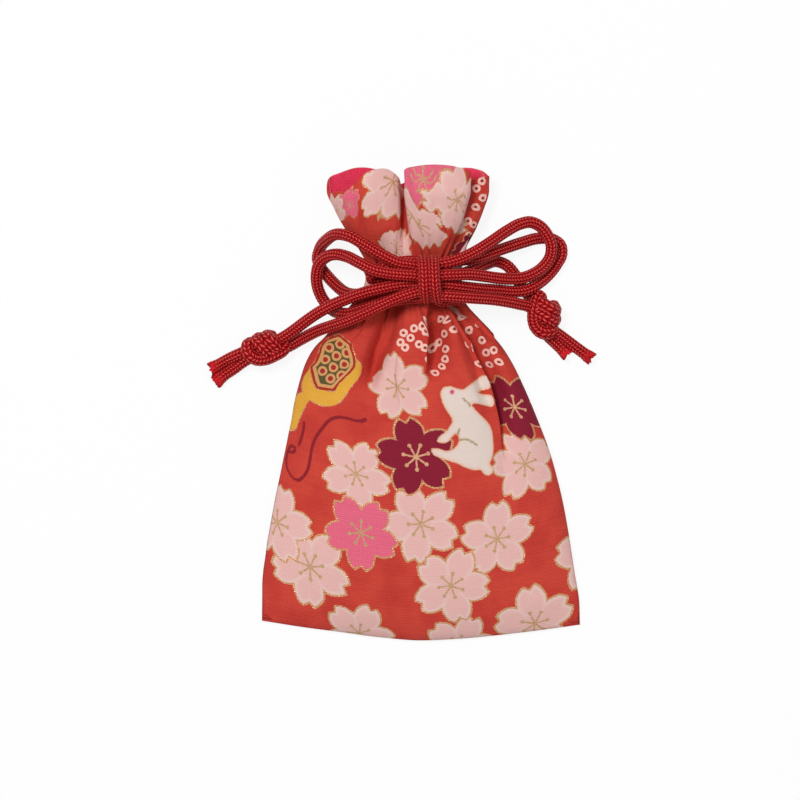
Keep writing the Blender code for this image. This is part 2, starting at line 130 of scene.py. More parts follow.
def newMesh(name, points, faceGroups):
    # each group of faces is an array with one row of point numbers per face; points are in millimetres
    mesh = bpy.data.meshes.new(name)
    corners = np.concatenate([np.asarray(faces).ravel() for faces in faceGroups]).astype(np.int32)
    sizes = np.concatenate([np.full(len(faces), np.asarray(faces).shape[1]) for faces in faceGroups])
    mesh.vertices.add(len(points))
    mesh.vertices.foreach_set("co", (np.asarray(points) * mm).astype(np.float32).ravel())
    mesh.loops.add(len(corners))
    mesh.loops.foreach_set("vertex_index", corners)
    mesh.polygons.add(len(sizes))
    mesh.polygons.foreach_set("loop_start", (np.cumsum(sizes) - sizes).astype(np.int32))
    mesh.update(calc_edges=True)
    mesh.shade_smooth()
    return mesh


def addPiece(name, mesh, material, slot, *nodes):
    # the mesh as a piece on the one body, in place of the nodes named
    piece = bpy.data.objects.new(name, mesh)
    mesh.materials.append(material)
    bpy.context.scene.collection.objects.link(piece)
    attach(piece, "root")
    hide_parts(*nodes)
    return piece


def ringQuads(rows, columns, first=0):
    # quads between closed rings of points
    r, c = np.meshgrid(np.arange(rows - 1), np.arange(columns), indexing="ij")
    d = (c + 1) % columns
    corner = [r * columns + c, r * columns + d, (r + 1) * columns + d, (r + 1) * columns + c]
    return np.stack(corner, axis=-1).reshape(-1, 4) + first


def cornerVector(mesh, name, values):
    layer = mesh.attributes.new(name, "FLOAT_VECTOR", "CORNER")
    layer.data.foreach_set("vector", np.ascontiguousarray(values, dtype=np.float32).ravel())


def cornerUv(mesh, name, values):
    layer = mesh.uv_layers.new(name=name)
    layer.data.foreach_set("uv", np.ascontiguousarray(values, dtype=np.float32).ravel())


# Shader maths: a socket that adds Math nodes when it is used in a sum

def linear(red, green, blue):
    # colour as a screen shows it, 0 to 255, as the linear colour that a shader takes
    c = np.array([red, green, blue]) / 255
    return (*np.where(c <= 0.04045, c / 12.92, ((c + 0.055) / 1.055) ** 2.4).tolist(), 1.0)


class Value:
    def __init__(self, paint, socket):
        self.paint = paint
        self.socket = socket

    def __add__(self, other):
        return self.paint.maths("ADD", self, other)

    def __mul__(self, other):
        return self.paint.maths("MULTIPLY", self, other)

    def __sub__(self, other):
        return self.paint.maths("SUBTRACT", self, other)

    def __rsub__(self, other):
        return self.paint.maths("SUBTRACT", other, self)

    def __truediv__(self, other):
        return self.paint.maths("DIVIDE", self, other)

    def __pow__(self, other):
        return self.paint.maths("POWER", self, other)

    def __abs__(self):
        return self.paint.maths("ABSOLUTE", self)

    __radd__ = __add__
    __rmul__ = __mul__


class Paint:
    # one material's node tree; node() adds any node, by its type, its settings and its inputs in order
    def __init__(self, name):
        self.material = bpy.data.materials.new(name)
        self.material.use_nodes = True
        self.tree = self.material.node_tree
        self.shader = self.tree.nodes["Principled BSDF"]

    def node(self, kind, settings=None, inputs=(), out=0):
        made = self.tree.nodes.new(kind)
        for key, value in (settings or {}).items():
            if key == "stops":
                ramp = made.color_ramp
                ramp.elements[0].position, ramp.elements[0].color = value[0]
                ramp.elements[-1].position, ramp.elements[-1].color = value[-1]
                for position, colour in value[1:-1]:
                    ramp.elements.new(position).color = colour
            else:
                setattr(made, key, value)
        pairs = inputs.items() if isinstance(inputs, dict) else enumerate(inputs)
        for key, value in pairs:
            self.feed(made.inputs[key], value)
        return Value(self, made.outputs[out])

    def feed(self, socket, value):
        if isinstance(value, Value):
            self.tree.links.new(value.socket, socket)
        else:
            socket.default_value = value

    def finish(self, constants, links):
        for key, value in constants.items():
            self.shader.inputs[key].default_value = value
        for key, value in links.items():
            self.feed(self.shader.inputs[key], value)
        return self.material

    def attribute(self, name):
        whole = self.node("ShaderNodeAttribute", {"attribute_name": name}, out=1)
        parts = self.node("ShaderNodeSeparateXYZ", {}, [whole])
        outputs = parts.socket.node.outputs
        return Value(self, outputs[0]), Value(self, outputs[1]), Value(self, outputs[2])

    def uv(self, name):
        return self.node("ShaderNodeUVMap", {"uv_map": name})

    def uvParts(self, name):
        parts = self.node("ShaderNodeSeparateXYZ", {}, [self.uv(name)])
        outputs = parts.socket.node.outputs
        return Value(self, outputs[0]), Value(self, outputs[1])

    def vector(self, x, y, z=0.0):
        return self.node("ShaderNodeCombineXYZ", {}, [x, y, z])

    def noise(self, vector, scale, detail=2.0):
        return self.node("ShaderNodeTexNoise", {"noise_dimensions": "2D"},
                         {"Vector": vector, "Scale": scale, "Detail": detail})

    def mix(self, factor, below, above):
        # colours: below where the factor is 0, above where it is 1
        made = self.node("ShaderNodeMix", {"data_type": "RGBA"}, out=2)
        sockets = made.socket.node.inputs
        self.feed(sockets[0], factor)
        self.feed(sockets[6], below)
        self.feed(sockets[7], above)
        return made

    def maths(self, operation, *values):
        return self.node("ShaderNodeMath", {"operation": operation}, values)

    def least(self, a, b):
        return self.maths("MINIMUM", a, b)

    def most(self, a, b):
        return self.maths("MAXIMUM", a, b)

    def root(self, a):
        return self.maths("SQRT", a)

    def cosine(self, a):
        return self.maths("COSINE", a)

    def sine(self, a):
        return self.maths("SINE", a)

    def fraction(self, a):
        return self.maths("FRACT", a)

    def angle(self, y, x):
        return self.maths("ARCTAN2", y, x)

    def ramp(self, low, high, value):
        # 0 below low and 1 above high, smooth between; low may lie above high
        return self.node("ShaderNodeMapRange", {"interpolation_type": "SMOOTHSTEP"},
                         {"Value": value, "From Min": low, "From Max": high})

    def bump(self, height, distance, normal=None):
        inputs = {"Height": height, "Distance": distance, "Strength": 1.0}
        if normal is not None:
            inputs["Normal"] = normal
        return self.node("ShaderNodeBump", {}, inputs)


# Braided cord: its routes repeat those of the solids

cord = {
    "diameter": 2.4,
    "step": 0.13,
    "sides": 48,
    "stitch": 0.66,       # length of one stitch along the cord
    "columns": 10,        # half columns of stitches round it
    "slant": 0.9,
    "relief": 0.16,
    "frayLength": 2.2,
    # the first of these three colours is a painted highlight for the stitch tops, the last is painted shade
    # for the grooves; the middle one is the cord's own red
    "paintedStitchHighlight": (232, 104, 90),
    "middle": (190, 27, 34),
    "paintedGrooveShade": (124, 4, 14),
    "frayBright": (226, 44, 52),
    "frayDark": (160, 8, 20),
}
cordRoutes = {
    "leftLoopBack": [
        (-1.1, 27.3, 12.7), (-4.4, 27.9, 12.7), (-7.6, 29.4, 12.4), (-11.2, 31.5, 11.6), (-14.2, 33.2, 10.7),
        (-16.7, 33.7, 8.8), (-18.9, 32.6, 5.6), (-20.3, 30.8, 2.5), (-20.7, 28.8, 1.4), (-20.1, 27.2, 1.25),
        (-18.8, 25.5, 1.3), (-17.0, 23.6, 2.2), (-15.2, 22.2, 4.4), (-13.0, 21.7, 6.9), (-10.0, 22.2, 8.7),
        (-6.5, 22.8, 9.2), (-3.6, 23.0, 9.3), (-1.1, 23.0, 9.3)],
    "leftLoopFront": [
        (-1.1, 25.3, 14.3), (-3.6, 25.5, 14.3), (-6.4, 25.8, 14.0), (-9.2, 26.4, 13.5), (-12.4, 28.0, 11.7),
        (-15.0, 29.3, 9.1), (-16.9, 29.7, 7.5), (-18.8, 29.3, 6.0), (-20.3, 28.0, 4.8), (-20.9, 26.0, 3.9),
        (-20.8, 23.6, 2.9), (-20.0, 21.4, 2.1), (-18.7, 19.5, 2.6), (-17.0, 18.2, 5.2), (-15.6, 17.9, 7.2),
        (-14.0, 17.9, 8.6), (-12.2, 18.4, 9.5), (-9.6, 19.3, 10.1), (-6.6, 20.2, 10.8), (-3.6, 20.8, 11.3),
        (-1.1, 21.0, 11.5)],
    "leftTailUpper": [
        (-1.1, 23.7, 12.0), (-4.4, 23.5, 12.3), (-7.6, 22.9, 12.3), (-11.0, 22.1, 11.6), (-14.2, 21.0, 10.2),
        (-17.6, 19.6, 8.5), (-20.8, 17.9, 6.9), (-23.4, 16.1, 5.6), (-25.4, 14.6, 4.7), (-27.5, 13.2, 4.0)],
    "leftTailLower": [
        (-1.1, 22.1, 14.3), (-4.4, 21.0, 14.0), (-7.6, 19.6, 13.4), (-11.0, 18.0, 12.6), (-14.2, 16.6, 11.2),
        (-17.6, 15.5, 8.6), (-20.8, 14.4, 5.0), (-24.0, 12.8, 2.7), (-26.5, 11.4, 1.8)],
    "rightLoopBack": [
        (4.5, 27.8, 13.1), (8.0, 28.8, 12.4), (11.2, 30.4, 11.1), (14.0, 32.2, 9.4), (17.2, 34.4, 7.4),
        (19.8, 35.8, 6.0), (21.8, 36.2, 5.2), (23.8, 35.4, 4.6), (25.2, 33.8, 4.3), (26.1, 31.6, 4.1),
        (25.9, 29.4, 3.9), (24.4, 27.2, 4.2), (22.4, 25.8, 5.0), (20.2, 25.0, 5.9), (18.0, 24.8, 6.9),
        (15.6, 24.9, 8.4), (12.4, 25.3, 10.5), (9.2, 25.6, 12.6), (6.6, 25.5, 14.0), (4.5, 25.4, 14.5)],
    "rightLoopFront": [
        (4.5, 27.9, 10.3), (8.0, 28.5, 9.6), (11.2, 29.0, 8.4), (14.0, 30.0, 6.8), (17.4, 31.2, 4.4),
        (20.4, 32.2, 2.6), (23.4, 33.0, 1.4), (26.2, 32.9, 1.25), (28.0, 31.6, 1.25), (28.2, 29.8, 1.25),
        (27.2, 27.8, 1.25), (25.6, 25.7, 1.6), (23.8, 24.1, 2.8), (22.2, 23.1, 4.0), (20.6, 22.5, 4.6),
        (18.4, 22.3, 5.3), (15.6, 22.5, 6.5), (12.4, 22.7, 8.6), (9.2, 23.0, 10.6), (6.6, 23.3, 12.0),
        (4.5, 23.5, 12.5)],
    "rightTailUpper": [
        (4.5, 25.1, 10.1), (7.6, 25.6, 9.0), (10.4, 26.6, 6.8), (13.0, 27.8, 4.0), (15.2, 28.4, 1.8),
        (17.2, 27.6, 1.3), (18.8, 25.8, 1.25), (19.9, 23.8, 1.25), (21.1, 22.1, 1.3), (22.7, 21.0, 2.0)],
    "rightTailLower": [
        (4.5, 21.3, 14.2), (7.6, 21.1, 13.4), (10.8, 20.9, 11.8), (14.0, 20.7, 9.8), (17.0, 20.3, 7.9),
        (19.6, 19.8, 6.0), (21.6, 19.3, 4.5)],
    "leftLeadUpper": [
        (-10.7, 25.2, 10.2), (-9.0, 26.3, 10.6), (-6.8, 27.2, 10.3), (-4.0, 28.1, 9.9), (-1.1, 28.3, 9.6)],
    "leftLeadLower": [
        (-10.4, 24.9, 7.2), (-8.6, 25.0, 8.2), (-6.6, 25.3, 8.7), (-3.8, 25.7, 8.9), (-1.1, 25.8, 8.9)],
    "rightLeadUpper": [(7.7, 22.3, 8.2), (6.2, 22.4, 9.0), (4.5, 22.5, 9.5)],
    "rightLeadLower": [(7.9, 20.7, 9.1), (6.3, 20.7, 9.4), (4.5, 20.4, 9.8)],
    "leftCutEnd1": [
        (-34.6, 10.6, 3.0), (-36.2, 9.9, 2.9), (-38.4, 8.9, 2.0), (-40.2, 7.9, 1.3), (-42.0, 6.9, 1.25)],
    "leftCutEnd2": [
        (-34.6, 8.9, 2.2), (-35.9, 8.1, 1.9), (-37.4, 7.0, 1.4), (-39.2, 5.8, 1.25), (-40.9, 4.5, 1.25)],
    "rightCutEnd1": [
        (25.2, 16.0, 3.0), (26.5, 14.6, 2.6), (28.5, 13.1, 1.9), (30.9, 11.3, 1.5), (33.9, 9.1, 1.25)],
    "rightCutEnd2": [(24.2, 15.0, 2.2), (25.4, 13.5, 1.7), (27.1, 11.9, 1.3), (29.2, 9.9, 1.25)],
}
# Each strand runs from the casing through the bow, round a loop, through the bow again and on to its cut end
strands = {
    "cord_left_back": {
        "routes": ["leftLeadUpper", "rightLoopBack", "leftTailUpper", "leftCutEnd1"],
        "solids": ["left_lead_upper", "right_loop_back", "left_tail_upper", "left_cut_end_1"],
        "length": 124},
    "cord_left_front": {
        "routes": ["leftLeadLower", "rightLoopFront", "leftTailLower", "leftCutEnd2"],
        "solids": ["left_lead_lower", "right_loop_front", "left_tail_lower", "left_cut_end_2"],
        "length": 127},
    "cord_right_back": {
        "routes": ["rightLeadUpper", "leftLoopBack", "rightTailUpper", "rightCutEnd1"],
        "solids": ["right_lead_upper", "left_loop_back", "right_tail_upper", "right_cut_end_1"],
        "length": 112},
    "cord_right_front": {
        "routes": ["rightLeadLower", "leftLoopFront", "rightTailLower", "rightCutEnd2"],
        "solids": ["right_lead_lower", "left_loop_front", "right_tail_lower", "right_cut_end_2"],
        "length": 105},
}


def evenPath(points, step):
    # points one step apart along the smooth curve through the given points
    coarse = smoothCurve(points, np.linspace(0, 1, 60 * len(points)))
    run = np.concatenate([[0], np.cumsum(np.linalg.norm(np.diff(coarse, axis=0), axis=1))])
    count = max(8, round(run[-1] / step) + 1)
    at = np.linspace(0, run[-1], count)
    return np.stack([np.interp(at, run, coarse[:, k]) for k in range(3)], axis=-1)


def pathSides(path):
    # side and up of each place on a path, turned as little as possible from one place to the next
    tangent = unit(np.gradient(path, axis=0))
    side = np.zeros_like(path)
    start = np.cross(tangent[0], (0, 0, 1))
    side[0] = start / np.linalg.norm(start)
    for k in range(1, len(path)):
        flat = side[k - 1] - tangent[k] * (side[k - 1] @ tangent[k])
        side[k] = flat / np.linalg.norm(flat)
    return side, np.cross(side, tangent)


def braidHeight(around, along):
    # slanting stitches in half columns that lean to and fro, so that each two of them read as a row of V:
    # a rounded yarn across each stitch, times a rounded half column
    column = np.floor(around)
    x = around - column - 0.5
    lean = 1 - 2 * (column % 2)
    yarn = np.abs(np.cos(math.pi * ((along + lean * cord["slant"] * x) % 1 - 0.5)))
    return 0.72 * yarn ** 0.7 * np.cos(math.pi * x) ** 0.4 + 0.28 * np.cos(math.pi * x) ** 0.5 - 0.5


def braidedTube(name, path, diameter, closed=False, fray=False, seed=1):
    # rings of radius r + relief * stitch height, carried along the path; the last ones of a cut end
    # spread, lose their stitches and end unevenly
    side, up = pathSides(path)
    if closed:
        ahead = np.roll(path, -1, axis=0) - np.roll(path, 1, axis=0)
        side = unit(np.cross(ahead, (1, 0, 0)))
        up = np.tile([1.0, 0, 0], (len(path), 1))
    sides = cord["sides"]
    run = np.concatenate([[0], np.cumsum(np.linalg.norm(np.diff(path, axis=0), axis=1))])
    left = (run[-1] - run)[:, None]
    angle = np.linspace(0, 2 * math.pi, sides, endpoint=False)[None, :]
    stitches = run / cord["stitch"]
    if closed:
        turn = run[-1] + np.linalg.norm(path[0] - path[-1])
        stitches = run / turn * round(turn / cord["stitch"])
    height = braidHeight(angle / (2 * math.pi) * cord["columns"], stitches[:, None])
    radius = diameter / 2 - cord["relief"] * 0.35 + cord["relief"] * height
    points = path[:, None, :]
    if fray:
        rough = latticeNoise(angle * 5, left * 1.2, seed)
        loose = smoothStep(cord["frayLength"], 0, left)
        tuft = np.abs((angle * 3.5 + 0.7 * latticeNoise(angle * 3, 0 * angle, seed + 2)) % 1 - 0.5)
        spread = 1.0 + 0.2 * loose + 0.12 * rough - 0.12 * loose * tuft
        radius = radius * (1 - loose) + loose * diameter / 2 * spread
        uneven = latticeNoise(angle * 3.2 + 9, angle * 0, seed + 5)
        endShift = loose ** 2 * (0.4 * uneven - 0.7 * tuft + 0.5)
        tangent = unit(np.gradient(path, axis=0))
        points = points + tangent[:, None, :] * endShift[..., None]
    ring = side[:, None, :] * np.cos(angle)[..., None] + up[:, None, :] * np.sin(angle)[..., None]
    points = points + ring * radius[..., None]
    if fray:
        points[..., 2] = np.maximum(points[..., 2], 0.02)
    rows = len(path)
    flat = points.reshape(-1, 3)
    if closed:
        r, c = np.meshgrid(np.arange(rows), np.arange(sides), indexing="ij")
        s = (r + 1) % rows
        d = (c + 1) % sides
        quads = np.stack([r * sides + c, s * sides + c, s * sides + d, r * sides + d], axis=-1).reshape(-1, 4)
        groups = [quads]
    else:
        quads = ringQuads(rows, sides)[:, ::-1]
        c = np.arange(sides)
        d = (c + 1) % sides
        startCap = np.stack([np.full(sides, len(flat)), c, d], axis=-1)
        last = (rows - 1) * sides
        endCap = np.stack([np.full(sides, len(flat) + 1), last + d, last + c], axis=-1)
        inset = points[-1].mean(axis=0) - unit(path[-1] - path[-2]) * (0.1 if fray else 0)
        flat = np.concatenate([flat, [points[0].mean(axis=0)], [inset]])
        groups = [quads, startCap[:, ::-1], endCap[:, ::-1]]
    mesh = newMesh(name, flat, groups)
    corner = np.concatenate([g.ravel() for g in groups])
    inside = np.minimum(corner, rows * sides - 1)
    u = (inside % sides) / sides * cord["columns"]
    count = len(groups[0])
    seam = (np.arange(count * 4) // 4 % sides == sides - 1) & (inside[:count * 4] % sides == 0)
    u[:count * 4] = np.where(seam, cord["columns"], u[:count * 4])
    cornerUv(mesh, "braid", np.stack([u, stitches[inside // sides]], axis=-1))
    frayed = np.zeros(len(corner))
    if fray:
        frayed = smoothStep(cord["frayLength"] * 0.9, 0.1, left[:, 0])[inside // sides]
    cornerVector(mesh, "fray", np.stack([frayed, frayed, frayed], axis=-1))
    return mesh


def cordMaterial():
    # the same slanting stitches as in braidHeight, as colour: painted shade in the grooves between stitches,
    # and a painted highlight on the stitch tops, where sine times cosine is high
    paint = Paint("braided_cord")
    u, v = paint.uvParts("braid")
    fray = paint.attribute("fray")[0]
    column = paint.maths("FLOOR", u)
    x = u - column - 0.5
    lean = 1 - 2 * paint.maths("MODULO", column, 2.0)
    along = paint.fraction(v + lean * x * cord["slant"])
    yarn = paint.sine(along * math.pi)
    across = paint.cosine(x * math.pi)
    top = yarn * across
    threads = paint.noise(paint.vector(u * 7 + lean * v * 2, v * 0.8), 2.2, 3.0)
    patch = paint.noise(paint.vector(u * 0.12, v * 0.05), 3.0, 2.0)
    stitch = paint.ramp(0.12, 0.98, top * (0.78 + threads * 0.34))
    # painted shade: the groove colour in the dips between stitches, below the cord's own red; then a painted
    # highlight on the stitch tops, made patchy by noise
    stitchesWithPaintedShade = paint.mix(paint.ramp(0.0, 0.5, stitch), linear(*cord["paintedGrooveShade"]), linear(*cord["middle"]))
    stitchesWithPaintedShadeAndHighlight = paint.mix(paint.ramp(0.55, 1.0, stitch) * (0.35 + patch * 0.7), stitchesWithPaintedShade, linear(*cord["paintedStitchHighlight"]))
    streak = paint.noise(paint.vector(u * 3.0, v * 0.25), 2.0, 3.0)
    loose = paint.mix(paint.ramp(0.3, 0.7, streak), linear(*cord["frayDark"]), linear(*cord["frayBright"]))
    colour = paint.mix(fray, stitchesWithPaintedShadeAndHighlight, loose)
    fibres = paint.noise(paint.vector(u * 14 + lean * v * 6, v * 2), 2.0, 2.0)
    normal = paint.bump(top * 0.7 + fibres * 0.3, 0.00012)
    constants = {"Specular IOR Level": 0.22, "Specular Tint": linear(255, 140, 130)}
    return paint.finish(constants, {"Base Color": colour, "Roughness": 0.44 + fray * 0.25, "Normal": normal})


cordFinish = cordMaterial()


def addStrands():
    # one braided tube for each strand, through the points of all its routes in turn
    made = {}
    for number, (name, strand) in enumerate(strands.items()):
        route = [point for part in strand["routes"] for point in cordRoutes[part]]
        path = evenPath(route, cord["step"])
        mesh = braidedTube(name, path, cord["diameter"], fray=True, seed=number + 3)
        piece = addPiece(name, mesh, cordFinish, "braided_cord", *strand["solids"])
        made[name] = {"piece": piece, "path": path, "length": strand["length"]}
        run = np.linalg.norm(np.diff(path, axis=0), axis=1).sum()
        print(name, "runs", round(run, 1), "mm")
    return made


wrap = {
    "x": 1.7,
    "y": 24.6,
    "z": 12.7,
    "halfY": 3.7,
    "halfZ": 4.0,
    "apart": 2.1,
    "lean": -0.12,         # x gained for each millimetre up the bag
}


def addWrap():
    # two closed turns of cord round the bow: ellipses across the strands, leaning a little
    parts = []
    for number in range(2):
        angle = np.linspace(0, 2 * math.pi, 240, endpoint=False)
        y = wrap["halfY"] * np.cos(angle)
        z = wrap["halfZ"] * np.sin(angle)
        sway = 0.14 * np.sin(angle * 2 + number * 0.8)
        x = (number - 0.5) * wrap["apart"] + wrap["lean"] * y + sway
        path = np.stack([wrap["x"] + x, wrap["y"] + y, wrap["z"] + z + 0.12 * number], axis=-1)
        mesh = braidedTube(f"wrap_turn_{number}", path, cord["diameter"], closed=True)
        parts.append(bpy.data.objects.new(f"wrap_turn_{number}", mesh))
        bpy.context.scene.collection.objects.link(parts[-1])
    with bpy.context.temp_override(active_object=parts[0], selected_editable_objects=parts):
        bpy.ops.object.join()
    mesh = parts[0].data
    bpy.data.objects.remove(parts[0])
    return addPiece("bow_wrap", mesh, cordFinish, "braided_cord", "bow_knot")


knots = {
    "diameter": 2.9,
    "left": {"at": (-31.4, 11.0, 3.17), "turn": 200, "flip": 1},
    "right": {"at": (24.7, 17.4, 3.17), "turn": 265, "flip": -1},
    # along the pair of cords towards their cut ends, across them, up
    "route": [(-4.1, 1.0, -0.6), (-3.2, 1.6, 0.3), (-1.6, 1.9, 0.9), (0.4, 2.0, 1.0), (2.2, 1.4, 1.1),
              (3.2, 0.1, 1.3), (3.0, -1.3, 0.7), (2.2, -1.7, -0.6), (1.3, -0.6, -1.6), (0.7, 0.9, -1.5),
              (-0.1, 1.7, -0.6), (-0.3, 0.9, 1.5), (0.3, -0.5, 2.1), (0.8, -1.7, 1.2), (0.2, -2.0, -0.3),
              (-0.8, -1.2, -1.5), (-1.7, 0.2, -1.6), (-2.2, 1.0, -0.3), (-2.2, 0.4, 1.4),
              (-1.6, -0.9, 1.8), (-1.3, -1.9, 0.6), (-2.2, -1.5, -0.9)],
}


def knotPath(knot):
    # one strand that runs along the pair, turns over its end, then winds back round it twice
    points = np.array(knots["route"], float)
    points[:, 1] *= knot["flip"]
    turn = math.radians(knot["turn"])
    x = points[:, 0] * math.cos(turn) - points[:, 1] * math.sin(turn)
    y = points[:, 0] * math.sin(turn) + points[:, 1] * math.cos(turn)
    return np.stack([x, y, points[:, 2]], axis=-1) + np.array(knot["at"])


def addKnot(name, knot, node):
    # a braided tube along the knot's path
    path = evenPath(knotPath(knot), cord["step"])
    mesh = braidedTube(name, path, knots["diameter"])
    return addPiece(name, mesh, cordFinish, "braided_cord", node)


strandPieces = addStrands()
bowWrap = addWrap()
leftKnot = addKnot("left_stopper_knot", knots["left"], "left_end_knot")
rightKnot = addKnot("right_stopper_knot", knots["right"], "right_end_knot")
for name, made in strandPieces.items():
    goesWith = [bowWrap, leftKnot if "left" in name else rightKnot]
    made["path"][0] * mm
    made["length"] * mm
    made["path"][::6] * mm
print("cords made")


# Cloth: the surface of the bag, with the sizes of the solid

bag = {
    "length": 94.8, "width": 63.8, "frillLength": 22.8,
    "neckWidth": 19.6, "neckX": -1.6, "bodyDepth": 9.6, "hemDepth": 1.6, "backLift": 0.05,
    "sideSeamHeight": 4.2, "cornerRise": 3.7, "pleatDepth": 2.0, "creaseDepth": 3.9, "pleatSharpness": 1.35,
    "wall": 0.4, "liningGap": 0.05, "liningWall": 0.35, "mouthDepth": 12,
    "frontColumns": 150, "backColumns": 75, "bodyRows": 150, "frillRows": 58,
    "seamCrowding": 0.28,     # how much closer the drawn rim's places lie at the seams
}
leftEdge = [(0, 0), (.03, .03), (.07, .14), (.11, .25), (.16, .37), (.20, .49), (.27, .60),
            (.41, .71), (.63, .87), (.80, .965), (.90, 1), (1, 1)]
rightEdge = [(0, 0), (.04, 0), (.07, .03), (.10, .10), (.14, .21), (.20, .355), (.26, .456),
             (.36, .59), (.50, .745), (.67, .87), (.85, .955), (.94, .995), (1, 1)]
bodyTop = [(0, .75), (.05, .92), (.14, 1), (.30, .95), (.50, .84), (.77, .68), (.92, .46), (.985, .22),
           (1, .10)]
seamRise = [(0, 1), (.10, .85), (.30, .60), (.60, .42), (.85, .30), (1, .17)]
hemSag = [(-1, 0), (-.75, 1.25), (-.5, 2.3), (-.25, 3.35), (0, 3.95), (.25, 3.6), (.5, 2.85), (.75, 1.9),
          (1, .8)]
frillFlare = [(0, 0), (.14, .0), (.27, .17), (.45, .54), (.63, .83), (.79, 1.01), (1, 1)]
frontRim = [(-18.5, 5.7, 5.2), (-17.2, 5.3, 8.4), (-14.8, 5.1, 11.0), (-13.2, 3.6, 11.8), (-11.6, 1.9, 12.1),
            (-8.8, .9, 11.9), (-7.0, .8, 11.3), (-4.6, 2.2, 9.6), (-3.9, 4.0, 6.8), (-3.3, 4.8, 5.0),
            (-2.5, 3.8, 6.6), (-3.1, 2.0, 9.6), (-3.3, .9, 11.7), (-.8, .3, 13.0), (3.4, .05, 13.4),
            (7.2, .5, 12.9), (9.9, 1.5, 11.1), (9.6, 3.2, 8.9), (7.9, 3.9, 7.9), (9.3, 3.2, 7.1),
            (12.0, 2.5, 7.0), (13.7, 2.1, 5.4)]
backRim = [(13.7, 2.1, 5.4), (12.4, 1.0, 3.0), (8.8, .3, 1.3), (5.6, .8, .8), (1.6, 1.2, 1.2),
           (-1.6, 2.2, 1.9), (-4.2, 3.6, 2.6), (-6.4, 2.2, 1.7), (-8.8, .8, .9), (-10.8, .3, 1.7),
           (-12.8, .3, 1.6), (-16.4, 1.4, 2.4), (-18.5, 2.4, 2.9), (-18.9, 4.2, 3.6), (-18.5, 5.7, 5.2)]
frontPleats = [(-.80, .16, .6, .9, .9), (-.58, .12, .6, .7, .8), (-.37, .50, .4, 1, 1.2),
               (-.12, .20, .3, .9, .9), (.12, .14, .5, .8, .8), (.35, .36, .4, 1, .9),
               (.64, .72, .4, 1, 1.0), (.86, .20, .6, .8, .8)]
backPleats = [(-.78, .20, .5, .9, 1.0), (-.5, .34, .6, .9, 1.1), (-.22, .22, .6, 1, 1.0),
              (.06, .40, .6, .9, 1.2), (.34, .26, .6, 1, 1.0), (.60, .36, .5, .9, 1.1),
              (.82, .18, .5, .8, .9)]
# Folds drawn on the front: places (y, x) along each, then how far it tucks under, rises, and its width
folds = {
    "tuck": {"line": [(-13, 17.2), (-6.4, 15.9), (2.4, 13.7), (4.2, 13.1), (8.4, 11.0), (12.0, 9.3),
                      (16.0, 6.6), (18.4, 5.0), (21, 4.2)],
             "fade": (-13, -2, 19, 22), "tuck": 1.1, "rise": 1.0, "drop": 2.3, "width": 0.75},
    "middle": {"line": [(4, 0.9), (7, 1.4), (10, 1.2), (13.6, 1.8), (17, 1.1), (20, 1.7), (22, 1.6)],
               "fade": (3, 10, 20, 22.5), "tuck": 0.6, "rise": 0.7, "drop": 1.4, "width": 0.75},
    "flower": {"line": [(-3, -3.9), (1, -4.5), (5, -5.1), (9, -4.8), (13, -4.2)],
               "fade": (-4, 2, 9, 13), "tuck": 0.5, "rise": 0.25, "drop": 0.35, "width": 1.2},
    "right": {"line": [(8, 15.4), (12, 13.4), (17, 10.2), (22, 6.8)],
              "fade": (9, 14, 19, 22), "tuck": 0.25, "rise": 0.4, "drop": 0.6, "width": 0.7},
    "outerLeft": {"line": [(10, -15.4), (15, -11.6), (20, -8.2), (22, -7.2)],
                  "fade": (8, 15, 20, 22), "tuck": 0.3, "rise": 0.45, "drop": 0.45, "width": 0.9},
}
# Valleys pressed into the front: places (y, x) along each, its depth, its width to the left and to the right
valleys = {
    "left": {"line": [(3, -10.2), (7, -9.2), (9.7, -8.2), (12, -7.0), (14, -6.2), (17, -5.5), (21, -4.8)],
             "fade": (1, 8, 19, 22), "depth": 3.3, "left": 2.1, "right": 1.15},
    "middle": {"line": [(4, 2.9), (8, 2.5), (11, 2.4), (14, 2.6), (17, 2.9), (21, 2.4)],
               "fade": (3, 9, 20, 22.5), "depth": 2.6, "left": 0.85, "right": 1.9},
    "underTuck": {"line": [(-8, 17.4), (-4, 16.6), (2.4, 14.9), (8.4, 12.3), (12, 10.6), (16, 8.0),
                           (21, 5.6)],
                  "fade": (-8, 5, 19, 22), "depth": 2.3, "left": 0.8, "right": 2.6},
}


def neckY():
    # the bag's middle is at 0: half its length less the frill
    return bag["length"] / 2 - bag["frillLength"]


def crowdedPlaces(count, peaks):
    # places from -1 to 1, closer together at the seams and round each peak: equal shares of a density
    s = np.linspace(-1, 1, 4001)
    density = 1 + 0.5 * np.abs(s) ** 6
    for place, width, gain in peaks:
        density = density + gain * np.exp(-((s - place) / width) ** 2)
    total = np.concatenate([[0], np.cumsum((density[1:] + density[:-1]) / 2)])
    return np.interp(np.arange(count) / count * total[-1], total, s)


def columnPlaces():
    # side 0 is the front, from the left seam to the right one; side 1 is the back, from right to left
    peaks = [(.63, .06, 2.2), (-.37, .05, .6), (.35, .05, .6), (.1, .05, .5)]
    front = crowdedPlaces(bag["frontColumns"], peaks)
    back = -crowdedPlaces(bag["backColumns"], [])
    side = np.concatenate([np.zeros(len(front)), np.ones(len(back))])
    return side, np.concatenate([front, back])


def sideNormal(points):
    # outwards and square to the ring, level along Y: the ring's direction (x, z) turned to (-z, x)
    along = np.roll(points, -1, axis=1) - np.roll(points, 1, axis=1)
    return unit(np.stack([-along[..., 2], 0 * along[..., 0], along[..., 0]], axis=-1))


